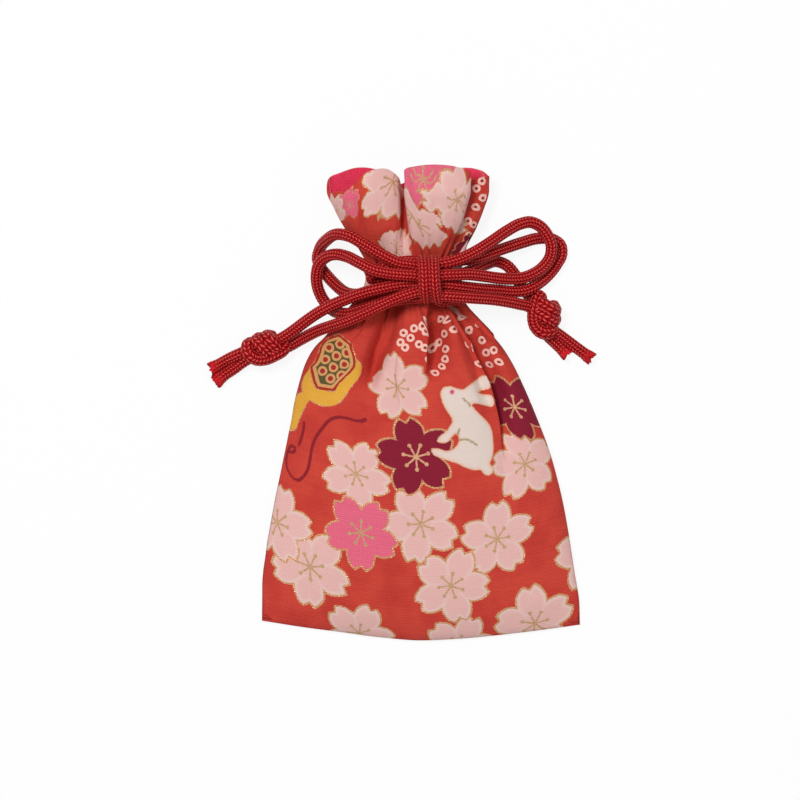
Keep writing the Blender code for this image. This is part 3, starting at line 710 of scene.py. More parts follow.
def bodySection(side, s, t):
    # lens across the bag: straight widening between the edges, sagging hem, rounded front and flat back
    widening = (bag["width"] - bag["neckWidth"]) / 2
    left = bag["neckX"] - bag["neckWidth"] / 2 - (widening + bag["neckX"]) * readTable(leftEdge, t)
    right = bag["neckX"] + bag["neckWidth"] / 2 + (widening - bag["neckX"]) * readTable(rightEdge, t)
    half = (right - left) / 2
    x = (left + right) / 2 + s * half
    y = neckY() + (bag["cornerRise"] - bag["length"] / 2 - neckY()) * t
    y = y - t * readTable(hemSag, s + 0 * t)
    seam = bag["sideSeamHeight"] * readTable(seamRise, t)
    top = np.maximum(bag["bodyDepth"] * readTable(bodyTop, t), bag["hemDepth"] * (1 - t) + seam)
    front = seam + (top - seam) * (1 - np.abs(s) ** 2.6) ** 0.62
    curl = smoothStep(.66, 1, np.abs(s)) ** 1.4
    back = bag["backLift"] + (seam - bag["backLift"]) * curl
    return np.stack([x, y + 0 * s, np.where(side == 0, front, back)], axis=-1), half


def pleatDraw(side, s, tBody, tFrill, half):
    # depth that each pleat draws the cloth in: a peaked ridge across it, fading away from the neck
    drawn = 0 * (s * half)
    for number, pleats in enumerate((frontPleats, backPleats)):
        for place, reach, frillReach, share, width in pleats:
            down = smoothStep(0, reach, tBody)
            up = smoothStep(0, frillReach, tFrill)
            spread = width * (1 + 1.8 * down + 1.2 * up)
            depth = bag["pleatDepth"] + (bag["creaseDepth"] - bag["pleatDepth"]) * smoothStep(0, 1, 3 * tBody)
            ridge = np.exp(-(np.abs(s - place) * half / spread) ** bag["pleatSharpness"])
            drawn = drawn + np.where(side == number, share * depth * (1 - down) * (1 - up) * ridge, 0)
    return drawn


def fineGathers(side, s, tBody, tFrill):
    # small sharp gathers crowd between the pleats and run out at uneven distances from the neck
    count = np.where(side == 0, 17, 13)
    phase = (s + 1) / 2 * count + 0.35 * latticeNoise(s * 6 + side * 20, 0 * s, 11)
    number = np.floor(phase)
    crease = 1 - 2 * np.abs(phase - number - 0.5)
    reach = 0.11 + 0.05 * latticeNoise(number * 1.7 + side * 31, 0 * s + 0.5, 12)
    fade = np.exp(-(tBody / reach) ** 2) * np.exp(-(tFrill / 0.38) ** 2)
    return 0.7 * fade * crease ** 2


def clothSheet():
    # rows of the bag from hem to rim, each a closed ring of columns from the left seam over the front
    side, s = columnPlaces()
    side, s = side[None, :], s[None, :]
    bodyT = np.linspace(1, 0, bag["bodyRows"], endpoint=False) ** 1.12
    frillT = np.linspace(0, 1, bag["frillRows"] + 1)
    tBody = np.concatenate([bodyT, 0 * frillT])[:, None]
    tFrill = np.concatenate([0 * bodyT, frillT])[:, None]
    rows, half = bodySection(side, s, tBody)
    normal = sideNormal(rows)
    drawn = pleatDraw(side, s, tBody, tFrill, half) + fineGathers(side, s, tBody, tFrill)
    rows = rows - normal * drawn[..., None]
    rim = rimCurve(side[0], s[0])
    reach = ((rim[:, 1] - neckY()) / bag["frillLength"])[None, :]
    flare = readTable(frillFlare, tFrill * reach) / readTable(frillFlare, reach)
    rise = np.stack([flare, tFrill + 0 * flare, flare], axis=-1)
    rows = rows + (rim[None] - rows) * rise
    rows = pressValleys(rows, side, tFrill)
    rows = foldFront(rows, side, tFrill)
    rows = wrinkle(rows, side, s, tBody, tFrill)
    rows[..., 2] = np.maximum(rows[..., 2], bag["backLift"])
    return rows, s[0]


def rimCurve(side, s):
    # rim of the mouth at each column, read from the drawn rim by its share of the way across
    share = np.interp(s, *evenShares())
    front = smoothCurve(frontRim, share)
    back = smoothCurve(backRim, 1 - share)
    rim = np.where((side == 0)[:, None], front, back)
    rim[:, 1] = bag["length"] / 2 - rim[:, 1]
    return rim


def evenShares():
    # the solid crowds its columns at the seams: place across against share of the way
    share = np.linspace(0, 1, 2001)
    crowding = bag["seamCrowding"]
    return (1 - crowding) * (2 * share - 1) - crowding * np.cos(math.pi * share), share


def acrossLine(rows, side, tFrill, drawn):
    # distance d to the right of a drawn line, and the line's strength, which fades at both of its ends
    # and is 0 on the back and in the frill
    y, x = np.array(drawn["line"], float).T
    d = rows[..., 0] - np.interp(rows[..., 1], y, x)
    low, lowFull, highFull, high = drawn["fade"]
    strength = smoothStep(low, lowFull, rows[..., 1]) * (1 - smoothStep(highFull, high, rows[..., 1]))
    return d, np.where((side == 0) & (tFrill == 0), strength, 0)


def foldFront(rows, side, tFrill):
    # across each fold the cloth slides under itself: d falls back on itself near the line, its left side
    # rises and its right side drops
    for fold in folds.values():
        d, strength = acrossLine(rows, side, tFrill, fold)
        w = fold["width"]
        slide = -(d / w) * np.exp(0.5 - 0.5 * (d / w) ** 2)
        over = 0.5 - 0.5 * np.tanh(d / (0.5 * w))
        lift = fold["rise"] * over * np.exp(-(np.minimum(d, 0) / (5 * w)) ** 2)
        sink = fold["drop"] * (1 - over) * np.exp(-(np.maximum(d, 0) / (4 * w)) ** 2)
        rows[..., 0] += fold["tuck"] * slide * strength
        rows[..., 2] += (lift - sink) * strength
    return rows


def pressValleys(rows, side, tFrill):
    # a soft valley along each line: depth times a bell curve of the distance across it
    for valley in valleys.values():
        d, strength = acrossLine(rows, side, tFrill, valley)
        width = np.where(d < 0, valley["left"], valley["right"])
        rows[..., 2] -= valley["depth"] * strength * np.exp(-(np.abs(d) / width) ** 1.7)
    return rows


def wrinkle(rows, side, s, tBody, tFrill):
    # slow swells over the whole cloth, and short wrinkles that fan out from the neck
    normal = gridNormal(rows)
    swell = latticeNoise(rows[..., 0] / 9 + 7, rows[..., 1] / 14, 21) * 0.28
    fan = latticeNoise(s * 13 + side * 9, rows[..., 1] / 9, 22) * 0.22 * np.exp(-tBody / 0.28)
    fine = latticeNoise(s * 34 + side * 5, rows[..., 1] / 4, 23) * 0.07 * np.exp(-tBody / 0.4)
    calm = smoothStep(1, .9, tBody) * smoothStep(1, .93, tFrill) * np.where(side == 0, 1, .35)
    crumple = latticeNoise(rows[..., 0] / 2.2, rows[..., 1] / 3.1, 24) * 0.05
    return rows + normal * ((swell + fan + fine + crumple) * calm)[..., None]


def gridNormal(rows):
    # cross product of the directions round the ring and from row to row
    across = np.roll(rows, -1, axis=1) - np.roll(rows, 1, axis=1)
    along = np.gradient(rows, axis=0)
    return unit(np.cross(across, along))


# Print: flowers, a rabbit, a mallet and ring dots, placed where the front shows them, in millimetres

flowers = {
    # x, y, radius, turn of one petal from +X in degrees, kind: 1 pale, 2 hot pink, 3 burgundy
    "under": [(-4.8, 3.2, 7.0, 28, 1), (-13.0, -14.2, 7.2, 133, 1), (15.2, -27.2, 7.7, 89, 1),
              (0.0, -24.2, 8.2, 115, 1), (-22.2, -32.8, 8.4, 50, 1), (7.8, -48.4, 7.6, 66, 1),
              (20.8, -12.2, 7.2, 96, 1), (33.4, -30.0, 8.4, 170, 1)],
    "over": [(-1.0, -10.8, 8.2, 103, 3), (-12.0, -26.0, 7.7, 125, 2), (6.0, -36.6, 8.0, 66, 1),
             (-28.8, -24.0, 7.8, 78, 1), (22.8, -44.2, 8.4, 96, 1), (-12.4, -46.2, 7.4, 67, 1),
             (18.7, -0.8, 7.4, 111, 3)],
}
backFlowers = {
    "under": [(-20, 12, 7.4, 40, 1), (-2, 22, 7.6, 10, 2), (18, 9, 7.4, 95, 1), (26, 34, 7.6, 60, 1),
              (-24, 40, 7.2, 130, 3), (2, 47, 7.6, 80, 1), (-8, 66, 7.4, 20, 1), (10, 88, 7.2, 50, 1)],
    "over": [(-12, 20, 7.6, 70, 1), (8, 15, 7.6, 30, 1), (-28, 24, 7.4, 15, 1), (14, 44, 7.4, 110, 3),
             (-12, 47, 7.6, 55, 1), (22, 60, 7.2, 35, 2), (-18, 80, 7.4, 85, 1)],
}
frillFlowers = {
    "under": [(0.4, 44.6, 8.0, 76, 2), (-5.6, 44.0, 7.6, 80, 1), (-14.2, 39.4, 3.8, 30, 2),
              (9.6, 31.0, 4.8, 70, 3)],
    "over": [(-0.6, 35.4, 6.2, 100, 1), (7.2, 40.4, 7.8, 22, 1), (-4.8, 30.6, 4.6, 20, 1),
             (-16.9, 38.6, 4.4, 60, 1), (-10.0, 24.4, 3.6, 20, 1)],
}
# White rings in rows, as on tie-dyed cloth: places on the front
dots = [(5.5, 19.8), (3.9, 16.8), (8.3, 17.3), (7.9, 15.9), (1.1, 16.1), (0.3, 15.3), (-1.4, 14.9),
        (-3.5, 14.0), (-2.1, 13.0), (-4.1, 12.1), (-3.2, 11.1), (-0.4, 11.7), (0.9, 14.2), (6.7, 14.8),
        (4.6, 13.9), (9.6, 14.6), (2.1, 12.0), (3.7, 12.2), (4.8, 10.8), (2.2, 10.1), (1.5, 8.8),
        (4.8, 8.8), (4.1, 7.3), (2.8, 6.1), (10.4, 12.4), (12.2, 12.6), (10.0, 10.9), (13.0, 10.1),
        (14.6, 10.6), (11.7, 7.7), (13.7, 7.7), (15.6, 8.2), (0.8, 11.0), (5.6, 16.8), (11.4, 15.9),
        (12.2, 44.4), (11.1, 42.9), (10.9, 39.2), (9.4, 36.4), (10.6, 35.6), (9.6, 33.6), (12.4, 41.0)]
mallet = {
    "disc": (-18.3, 5.2, 6.0),
    "handle": [(-21.8, 1.4), (-22.8, 0.0), (-23.5, -1.4), (-24.1, -2.7), (-24.6, -4.0), (-25.1, -5.3),
               (-27.0, -5.3), (-26.8, -2.4), (-26.0, 0.4), (-24.4, 2.0)],
    "hexagon": [(-18.9, 12.9), (-22.3, 7.2), (-20.9, 2.8), (-17.1, 2.2), (-13.7, 6.4), (-13.7, 11.8),
                (-16.4, 13.9)],
    "cells": [(-19.1, 8.7), (-16.9, 9.4), (-17.5, 7.1), (-15.3, 7.7), (-19.7, 6.4), (-18.1, 4.9),
              (-18.4, 11.1), (-15.9, 5.5), (-16.2, 11.8), (-14.8, 10.0)],
}
ribbon = {
    "lines": [[(-11.0, -3.4), (-12.6, -3.6), (-14.2, -3.2), (-16.3, -2.8), (-18.1, -3.3), (-19.7, -5.0),
               (-21.0, -6.8), (-21.8, -8.9), (-22.2, -11.3), (-22.7, -13.4), (-23.8, -15.0), (-24.6, -15.5),
               (-25.6, -15.0), (-26.5, -13.8), (-27.0, -12.2), (-26.9, -10.6), (-26.6, -9.4), (-25.9, -8.5),
               (-25.2, -9.0), (-25.5, -9.9), (-26.3, -9.8)],
              [(-23.4, -3.9), (-23.5, -5.2), (-23.9, -6.8), (-24.4, -8.4)],
              [(-11.2, -3.2), (-11.9, -3.8)]],
    "half": 0.32,
}
rabbit = {
    "outline": [(12.3, 5.5), (13.4, 5.1), (13.8, 3.7), (13.7, 2.9), (12.6, 2.65), (11.3, 2.2), (12.6, 1.7),
                (14.0, 1.5), (14.5, 0.5), (14.4, -0.6), (12.6, -0.45), (10.9, -0.1), (10.1, -0.2),
                (10.8, -1.3), (12.3, -2.8), (13.5, -4.1),
                (14.2, -5.7), (14.4, -7.4), (14.5, -9.1), (14.3, -10.7), (13.8, -12.3), (14.4, -12.9),
                (14.3, -14.0), (13.4, -14.5), (12.5, -14.1), (12.0, -13.4), (10.7, -13.4), (8.9, -12.9),
                (7.1, -12.0), (5.4, -11.5), (3.7, -10.9), (2.4, -10.2), (2.0, -9.2), (3.3, -9.1),
                (5.1, -9.6), (6.4, -9.2), (7.3, -8.3), (7.6, -7.4), (7.3, -6.4), (6.9, -6.1), (6.1, -6.9),
                (5.4, -7.7), (4.4, -8.0), (3.2, -7.6), (3.6, -6.8), (5.0, -5.7), (5.8, -4.6), (6.3, -3.5),
                (5.7, -2.4), (4.8, -1.0), (4.1, 0.7), (3.9, 2.2), (4.5, 3.1), (5.8, 3.3), (7.2, 2.9),
                (8.3, 2.7), (9.8, 3.7), (11.3, 4.8)],
    "lines": [[(7.7, -5.2), (7.4, -5.9), (7.3, -6.8)], [(7.7, -7.4), (8.8, -7.2), (9.9, -7.6), (11.3, -8.5)],
              [(8.4, 0.9), (9.0, 0.3)], [(9.4, 0.1), (9.8, -0.6)]],
    "eye": (6.2, 2.2),
}
print("print laid out")


def clothFits(rows, arc, rise, spots):
    # flat fit through the uppermost cloth near each place seen from above: how the cloth's coordinates grow
    # with x and with y, and the coordinates at the place itself
    count = bag["frontColumns"]
    seen = rows[:, :count].reshape(-1, 3)
    cloth = np.stack([arc[:, :count].ravel(), rise[:, :count].ravel()], axis=-1)
    found = []
    for x, y in spots:
        distance = (seen[:, 0] - x) ** 2 + (seen[:, 1] - y) ** 2
        near = np.argsort(distance)[:24]
        near = near[seen[near, 2] > seen[near, 2].max() - 0.9][:12]
        around = np.stack([seen[near, 0] - x, seen[near, 1] - y, np.ones(len(near))], axis=-1)
        weight = 1 / (0.1 + np.sqrt(distance[near]))[:, None]
        found.append(np.linalg.lstsq(around * weight, cloth[near] * weight, rcond=1e-3)[0])
    return np.array(found)


def clothPlaces(rows, arc, rise, spots):
    # the cloth's coordinates at each place seen from above
    return clothFits(rows, arc, rise, spots)[:, 2]


def ringLayer(quadU, quadV, fits, radii, kinds):
    # each face takes the nearest ring, drawn so that it looks round from above
    layer = np.zeros((*quadU.shape, 3))
    best = np.full(len(quadU), 1.12)
    for fit, radius, kind in zip(fits, radii, kinds):
        turn, stretch, other = np.linalg.svd(fit[:2])
        back = np.linalg.inv(turn @ np.diag(np.clip(stretch, 0.85, 1.5)) @ other) / radius
        du, dv = quadU - fit[2, 0], quadV - fit[2, 1]
        x = du * back[0, 0] + dv * back[1, 0]
        y = du * back[0, 1] + dv * back[1, 1]
        distance = np.hypot(x.mean(axis=1), y.mean(axis=1))
        nearer = (distance < best) & (np.hypot(du, dv).max(axis=1) < 2.5 * radius)
        best = np.where(nearer, distance, best)
        placed = np.stack([x, y, np.full(x.shape, float(kind))], axis=-1)
        layer = np.where(nearer[:, None, None], placed, layer)
    return layer


def lineDistance(u, v, points):
    # distance of each place from a line through the points
    best = np.full(u.shape, 99.0)
    for (ax, ay), (bx, by) in zip(points[:-1], points[1:]):
        dx, dy = bx - ax, by - ay
        t = np.clip(((u - ax) * dx + (v - ay) * dy) / (dx * dx + dy * dy + 1e-9), 0, 1)
        best = np.minimum(best, np.hypot(u - ax - t * dx, v - ay - t * dy))
    return best


def outlineDistance(u, v, points):
    # distance from a closed outline, negative inside it
    points = np.concatenate([points, points[:1]])
    inside = np.zeros(u.shape, bool)
    for (ax, ay), (bx, by) in zip(points[:-1], points[1:]):
        crosses = (ay > v) != (by > v)
        slope = (bx - ax) / (by - ay if by != ay else 1e-9)
        inside ^= crosses & (u < ax + (v - ay) * slope)
    return lineDistance(u, v, points) * np.where(inside, -1, 1)


def rounded(points, closed=True):
    # finer outline through the points
    points = np.asarray(points, float)
    if closed:
        points = np.concatenate([points[-2:], points, points[:3]])
        run = np.linalg.norm(np.diff(points, axis=0), axis=1)
        start = run[:2].sum() / run.sum()
        stop = run[:-2].sum() / run.sum()
        return smoothCurve(points, np.linspace(start, stop, 3 * len(points)))[:-1]
    return smoothCurve(points, np.linspace(0, 1, 3 * len(points)))


def flowerLayer(quadU, quadV, spots):
    # each face takes the nearest flower of the layer: its corners' places in that flower, and its kind
    layer = np.zeros((*quadU.shape, 3))
    best = np.full(len(quadU), 1.12)
    for u, v, radius, turn, kind in spots:
        angle = math.radians(turn)
        du, dv = (quadU - u) / radius, (quadV - v) / radius
        x = du * math.cos(angle) + dv * math.sin(angle)
        y = dv * math.cos(angle) - du * math.sin(angle)
        distance = np.hypot(x.mean(axis=1), y.mean(axis=1))
        nearer = distance < best
        best = np.where(nearer, distance, best)
        placed = np.stack([x, y, np.full(x.shape, float(kind))], axis=-1)
        layer = np.where(nearer[:, None, None], placed, layer)
    return layer


def addCloth():
    # outer skin, lip and inner skin at the wall's thickness, as one grid of rings, closed across the hem
    rows, s = clothSheet()
    outerRows, columns = rows.shape[:2]
    front = bag["frontColumns"]
    normal = gridNormal(rows)
    inner = (rows - normal * bag["wall"])[::-1][::3]
    lip = rows[-1] - normal[-1] * bag["wall"] / 2 + np.array([0, 0.12, 0])
    grid = np.concatenate([rows, [lip], inner])
    total = len(grid)
    # arc length round each row from its front or back middle, and up each column from the hem
    step = np.linalg.norm(np.roll(grid, -1, axis=1) - grid, axis=-1)
    run = np.concatenate([np.zeros((total, 1)), np.cumsum(step, axis=1)], axis=1)
    frontMiddle = int(np.argmin(np.abs(s[:front])))
    backMiddle = front + int(np.argmin(np.abs(s[front:])))
    arcFront = run - run[:, frontMiddle:frontMiddle + 1]
    arcBack = run - run[:, backMiddle:backMiddle + 1]
    climb = np.linalg.norm(np.diff(rows, axis=0), axis=-1)
    rise = np.concatenate([np.zeros((1, columns)), np.cumsum(climb, axis=0)])
    rise = np.concatenate([rise, rise[-1:], rise[::-1][::3]])
    quads = ringQuads(total, columns)
    r, c = quads[:, 0] // columns, quads[:, 0] % columns
    onBack = c >= front
    arc = np.where(onBack[:, None], quadValues(arcBack, r, c), quadValues(arcFront, r, c))
    up = quadValues(np.concatenate([rise, rise[:, :1]], axis=1), r, c)
    caps = [*hemCap(0, False), *hemCap((total - 1) * columns, True)]
    mesh = newMesh("printed_cloth", grid.reshape(-1, 3), [quads, *caps])
    extra = np.concatenate([faces.ravel() for faces in caps])
    spare = np.stack([arcFront[0][extra % columns], 0 * extra], axis=-1)
    thread = np.concatenate([np.stack([arc, up], axis=-1).reshape(-1, 2), spare])
    cornerUv(mesh, "thread", thread / cotton["threadPitch"])
    arcs = arcFront[:outerRows, :columns]
    rises = rise[:outerRows]
    paintPrint(mesh, arc, up, onBack, rows, arcs, rises, len(extra))
    return mesh, rows


def quadValues(values, r, c):
    # values at the four corners of each quad; the values have one column more than the grid
    return np.stack([values[r, c], values[r, c + 1], values[r + 1, c + 1], values[r + 1, c]], axis=-1)


def hemCap(first, flip):
    # the hem's fold: each back column meets two front ones, as faces with five corners, four at the seams
    columns = bag["frontColumns"] + bag["backColumns"]
    k = np.arange(bag["backColumns"])
    front = 2 * k
    faces = np.stack([front, (columns - k) % columns, columns - k - 1, front + 2, front + 1], axis=-1)
    ends = np.stack([faces[0, [0, 2, 3, 4]], faces[-1, [0, 1, 2, 4]]])
    faces = faces[1:-1]
    if flip:
        faces = faces[:, ::-1]
        ends = ends[:, ::-1]
    return faces + first, ends + first


cotton = {
    "threadPitch": 0.43,
    "dotRadius": 0.98,
    "cellRadius": 1.25,
    "ground": (195, 57, 47),
    "groundLight": (206, 67, 53),
    "pale": (226, 177, 171),
    "paleEdge": (226, 196, 188),
    "hotPink": (228, 102, 128),
    "burgundy": (136, 24, 48),
    "gold": (228, 166, 112),
    "goldBright": (255, 226, 178),
    "goldDark": (190, 132, 90),
    "stamen": (178, 152, 108),
    "stamenOnDeep": (222, 172, 134),
    "ring": (240, 192, 178),
    "ringHeart": (96, 52, 44),
    "yellow": (228, 172, 64),
    "yellowDeep": (216, 154, 52),
    "tan": (208, 152, 96),
    "plateLine": (168, 44, 28),
    "plateDot": (164, 44, 40),
    "comb": (92, 80, 44),
    "ribbon": (142, 30, 40),
    "cream": (223, 205, 195),
    "creamEdge": (228, 190, 176),
    "creamLine": (160, 136, 96),
    "eye": (206, 60, 112),
}


def ink(name):
    return linear(*cotton[name])


def paintPrint(mesh, arc, up, onBack, rows, arcs, rises, spareCorners):
    # what the shader draws from: at each corner, its place in the nearest flower and ring, and its
    # distances from the outlines of the figures
    spare = np.zeros((spareCorners, 3))

    def placed(spots):
        places = clothPlaces(rows, arcs, rises, [spot[:2] for spot in spots])
        return [(*place, *spot[2:]) for place, spot in zip(places, spots)]

    for layer in ("under", "over"):
        frontLayer = flowerLayer(arc, up, placed(flowers[layer] + frillFlowers[layer]))
        backLayer = flowerLayer(arc, up, backFlowers[layer])
        values = np.where(onBack[:, None, None], backLayer, frontLayer)
        cornerVector(mesh, "flowers_" + layer, np.concatenate([values.reshape(-1, 3), spare]))
    fits = clothFits(rows, arcs, rises, dots + mallet["cells"])
    kinds = [1] * len(dots) + [2] * len(mallet["cells"])
    radii = [cotton["dotRadius"]] * len(dots) + [cotton["cellRadius"]] * len(mallet["cells"])
    frontRings = ringLayer(arc, up, fits, radii, kinds)
    backRings = flowerLayer(arc, up, [(x, y, 1.0, 0, 1) for x, y in backDots()])
    rings = np.where(onBack[:, None, None], backRings, frontRings)
    cornerVector(mesh, "rings", np.concatenate([rings.reshape(-1, 3), spare]))

    def traced(points):
        return clothPlaces(rows, arcs, rises, points)

    disc = traced([mallet["disc"][:2]])[0]
    flatArc = np.where(onBack[:, None], 99.0, arc)
    yellow = np.hypot(flatArc - disc[0], up - disc[1]) - mallet["disc"][2]
    yellow = np.minimum(yellow, outlineDistance(flatArc, up, traced(rounded(mallet["handle"]))))
    hexagon = outlineDistance(flatArc, up, traced(mallet["hexagon"]))
    body = outlineDistance(flatArc, up, traced(rounded(rabbit["outline"])))
    eye = traced([rabbit["eye"]])[0]
    eye = np.hypot(flatArc - eye[0], up - eye[1])
    marks = 99.0 + 0 * arc
    for line in rabbit["lines"]:
        marks = np.minimum(marks, lineDistance(flatArc, up, traced(rounded(line, False))))
    trail = 99.0 + 0 * arc
    for line in ribbon["lines"]:
        trail = np.minimum(trail, lineDistance(flatArc, up, traced(rounded(line, False))))
    far = np.full((spareCorners, 3), 9.0)
    for name, parts in (("figures", (body, yellow, trail)), ("marks", (marks, hexagon, eye))):
        values = np.clip(np.stack(parts, axis=-1), -9, 9).reshape(-1, 3)
        cornerVector(mesh, name, np.concatenate([values, far]))


def backDots():
    # two drifting rows of rings across the back
    t = np.arange(9)
    first = np.stack([-22 + t * 2.2, 52 + 2.2 * np.sin(t * 0.8)], axis=-1)
    second = np.stack([-1 + t * 2.1, 30 + 1.8 * np.cos(t * 0.9)], axis=-1)
    third = first + (0.6, 2.4)
    return np.concatenate([first, second, third])


def flowerShapes(paint, name):
    # five petals: ellipses about the middle with a notch cut in each tip, joined by a small disc
    x, y, kind = paint.attribute(name)
    wobble = paint.noise(paint.uv("thread"), 0.16, 2.0) * 0.05 - 0.025
    reach = paint.root(x * x + y * y)
    turn = paint.angle(y, x)
    fifth = 2 * math.pi / 5
    petalTurn = (paint.fraction(turn / fifth + 5.5) - 0.5) * fifth
    a = reach * paint.cosine(petalTurn)
    b = abs(reach * paint.sine(petalTurn))
    ellipse = (paint.root(((a - 0.56) / 0.44) ** 2 + (b / 0.37) ** 2) - 1) * 0.38
    notch = (a - 0.86 - b * 0.8) * 0.75
    edge = paint.least(paint.most(ellipse, notch), reach - 0.36) + wobble
    there = paint.ramp(0.4, 0.6, kind)
    petals = paint.ramp(0.012, -0.012, edge) * there
    outline = paint.ramp(0.036, 0.016, abs(edge)) * there
    seventh = 2 * math.pi / 7
    stamenTurn = (paint.fraction(turn / seventh + 7.2) - 0.5) * seventh
    along = reach * paint.cosine(stamenTurn)
    across = abs(reach * paint.sine(stamenTurn))
    stalk = paint.ramp(0.03, 0.015, across) * paint.ramp(0.3, 0.28, along)
    tip = paint.ramp(0.056, 0.04, paint.root((along - 0.31) ** 2 + across ** 2))
    heart = paint.ramp(0.066, 0.048, reach)
    stamens = paint.most(paint.most(stalk, tip), heart) * there
    return {"kind": kind, "edge": edge, "petals": petals, "outline": outline, "stamens": stamens}


def layFlowers(paint, name, colour, gold):
    # petals in the colour of their kind, worn stamens on them, and gold along their outlines
    shape = flowerShapes(paint, name)
    kind = shape["kind"]
    fade = paint.ramp(0, -0.14, shape["edge"])
    pale = paint.mix(fade, ink("paleEdge"), ink("pale"))
    pink = paint.ramp(1.4, 1.6, kind)
    deep = paint.ramp(2.4, 2.6, kind)
    petal = paint.mix(pink, pale, ink("hotPink"))
    petal = paint.mix(deep, petal, ink("burgundy"))
    colour = paint.mix(shape["petals"], colour, petal)
    stamen = paint.mix(deep, ink("stamen"), ink("stamenOnDeep"))
    worn = paint.ramp(0.3, 0.5, paint.noise(paint.uv("thread"), 0.9, 1.0))
    colour = paint.mix(shape["stamens"] * shape["petals"] * (0.5 + worn * 0.45), colour, stamen)
    flecks = shape["stamens"] * worn * 0.45
    drawn = paint.most(shape["outline"], flecks)
    return colour, paint.most(gold * (1 - shape["petals"]), drawn)


def layRings(paint, colour):
    # pale rings with a dark middle, of kind 1; the mallet draws those of kind 2, its cells
    x, y, kind = paint.attribute("rings")
    reach = paint.root(x * x + y * y)
    ragged = reach + paint.noise(paint.uv("thread"), 0.9, 2.0) * 0.16 - 0.08
    there = paint.ramp(0.5, 0.9, kind) * paint.ramp(1.6, 1.4, kind)
    ring = paint.ramp(0.9, 0.78, ragged) * paint.ramp(0.27, 0.4, ragged) * there
    heart = paint.ramp(0.26, 0.14, ragged) * there
    colour = paint.mix(ring, colour, ink("ring"))
    return paint.mix(heart * 0.75, colour, ink("ringHeart"))


def layMallet(paint, colour, gold):
    # yellow disc and handle, and over them the tan plate with its rim, dark comb and cells
    yellow = paint.attribute("figures")[1]
    hexagon = paint.attribute("marks")[1]
    x, y, kind = paint.attribute("rings")
    reach = paint.root(x * x + y * y)
    place = paint.uv("thread")
    disc = paint.ramp(0.08, -0.08, yellow)
    yellowTone = paint.mix(paint.noise(place, 0.12, 1.0), ink("yellow"), ink("yellowDeep"))
    colour = paint.mix(disc, colour, yellowTone)
    plate = paint.ramp(0.06, -0.06, hexagon)
    colour = paint.mix(plate, colour, ink("tan"))
    rim = paint.ramp(0.34, 0.24, abs(hexagon + 0.3))
    colour = paint.mix(rim, colour, ink("plateLine"))
    comb = paint.ramp(-1.15, -1.3, hexagon)
    colour = paint.mix(comb, colour, ink("comb"))
    cell = paint.ramp(1.5, 1.7, kind) * comb
    colour = paint.mix(paint.ramp(0.84, 0.72, reach) * cell, colour, ink("tan"))
    colour = paint.mix(paint.ramp(0.46, 0.36, reach) * cell, colour, ink("plateDot"))
    edge = paint.most(paint.ramp(0.2, 0.1, abs(yellow)) * (1 - plate), paint.ramp(0.18, 0.1, abs(hexagon)))
    worn = paint.ramp(0.35, 0.6, paint.noise(place, 0.3, 1.0))
    return colour, paint.most(gold * (1 - paint.most(disc, plate)), edge * worn)


def layRibbon(paint, colour):
    # as wide as its half width to each side of its lines
    trail = paint.attribute("figures")[2]
    return paint.mix(paint.ramp(ribbon["half"] + 0.07, ribbon["half"] - 0.07, trail), colour, ink("ribbon"))


def layRabbit(paint, colour, gold):
    # cream inside its outline, paler lines and an eye on it, and gold along the outline
    body = paint.attribute("figures")[0]
    marks = paint.attribute("marks")[0]
    eye = paint.attribute("marks")[2]
    inside = paint.ramp(0.05, -0.05, body)
    edge = paint.mix(paint.ramp(-0.1, -0.8, body), ink("creamEdge"), ink("cream"))
    colour = paint.mix(inside, colour, edge)
    line = paint.ramp(0.36, 0.16, marks) * inside * 0.8
    colour = paint.mix(line, colour, ink("creamLine"))
    colour = paint.mix(paint.ramp(0.75, 0.2, eye) * inside, colour, ink("eye"))
    outline = paint.ramp(0.16, 0.06, abs(body)) * 0.8
    return colour, paint.most(gold * (1 - inside), outline)


def cottonMaterial():
    # ground, rings, ribbon, mallet, flowers and rabbit one over another, then glitter and the weave
    paint = Paint("printed_cotton")
    u, v = paint.uvParts("thread")
    place = paint.uv("thread")
    ground = paint.noise(place, 0.06, 2.0)
    colour = paint.mix(paint.ramp(0.3, 0.7, ground), ink("ground"), ink("groundLight"))
    colour = layRings(paint, colour)
    colour = layRibbon(paint, colour)
    colour, gold = layMallet(paint, colour, 0.0)
    colour, gold = layFlowers(paint, "flowers_under", colour, gold)
    colour, gold = layFlowers(paint, "flowers_over", colour, gold)
    colour, gold = layRabbit(paint, colour, gold)
    speck = paint.noise(place, 1.9, 1.0)
    glitter = paint.mix(paint.ramp(0.48, 0.66, speck), ink("goldDark"), ink("gold"))
    glitter = paint.mix(paint.ramp(0.62, 0.74, speck), glitter, ink("goldBright"))
    plain = paint.node("ShaderNodeSeparateColor", {}, [colour], out=1)
    plain = paint.ramp(0.4, 0.08, plain)
    colour = paint.mix(gold * paint.ramp(0.26, 0.4, speck), colour, glitter)
    weft = paint.cosine(v * 2 * math.pi)
    warp = paint.cosine(u * 2 * math.pi)
    slub = paint.noise(paint.vector(u * 0.05, v), 1.0, 2.0)
    threads = weft * 0.6 + weft * warp * 0.4
    coarse = 0.35 + plain * 0.65
    shade = 1.0 + (threads * 0.045 + slub * 0.14 - 0.07) * coarse
    colour = paint.node("ShaderNodeVectorMath", {"operation": "SCALE"}, {0: colour, "Scale": shade})
    normal = paint.bump((threads + slub * 0.8) * coarse, 0.00005)
    metal = gold * paint.ramp(0.5, 0.7, speck) * 0.6
    constants = {"Specular IOR Level": 0.22}
    links = {"Base Color": colour, "Roughness": 0.82 - gold * 0.35, "Metallic": metal, "Normal": normal}
    return paint.finish(constants, links)


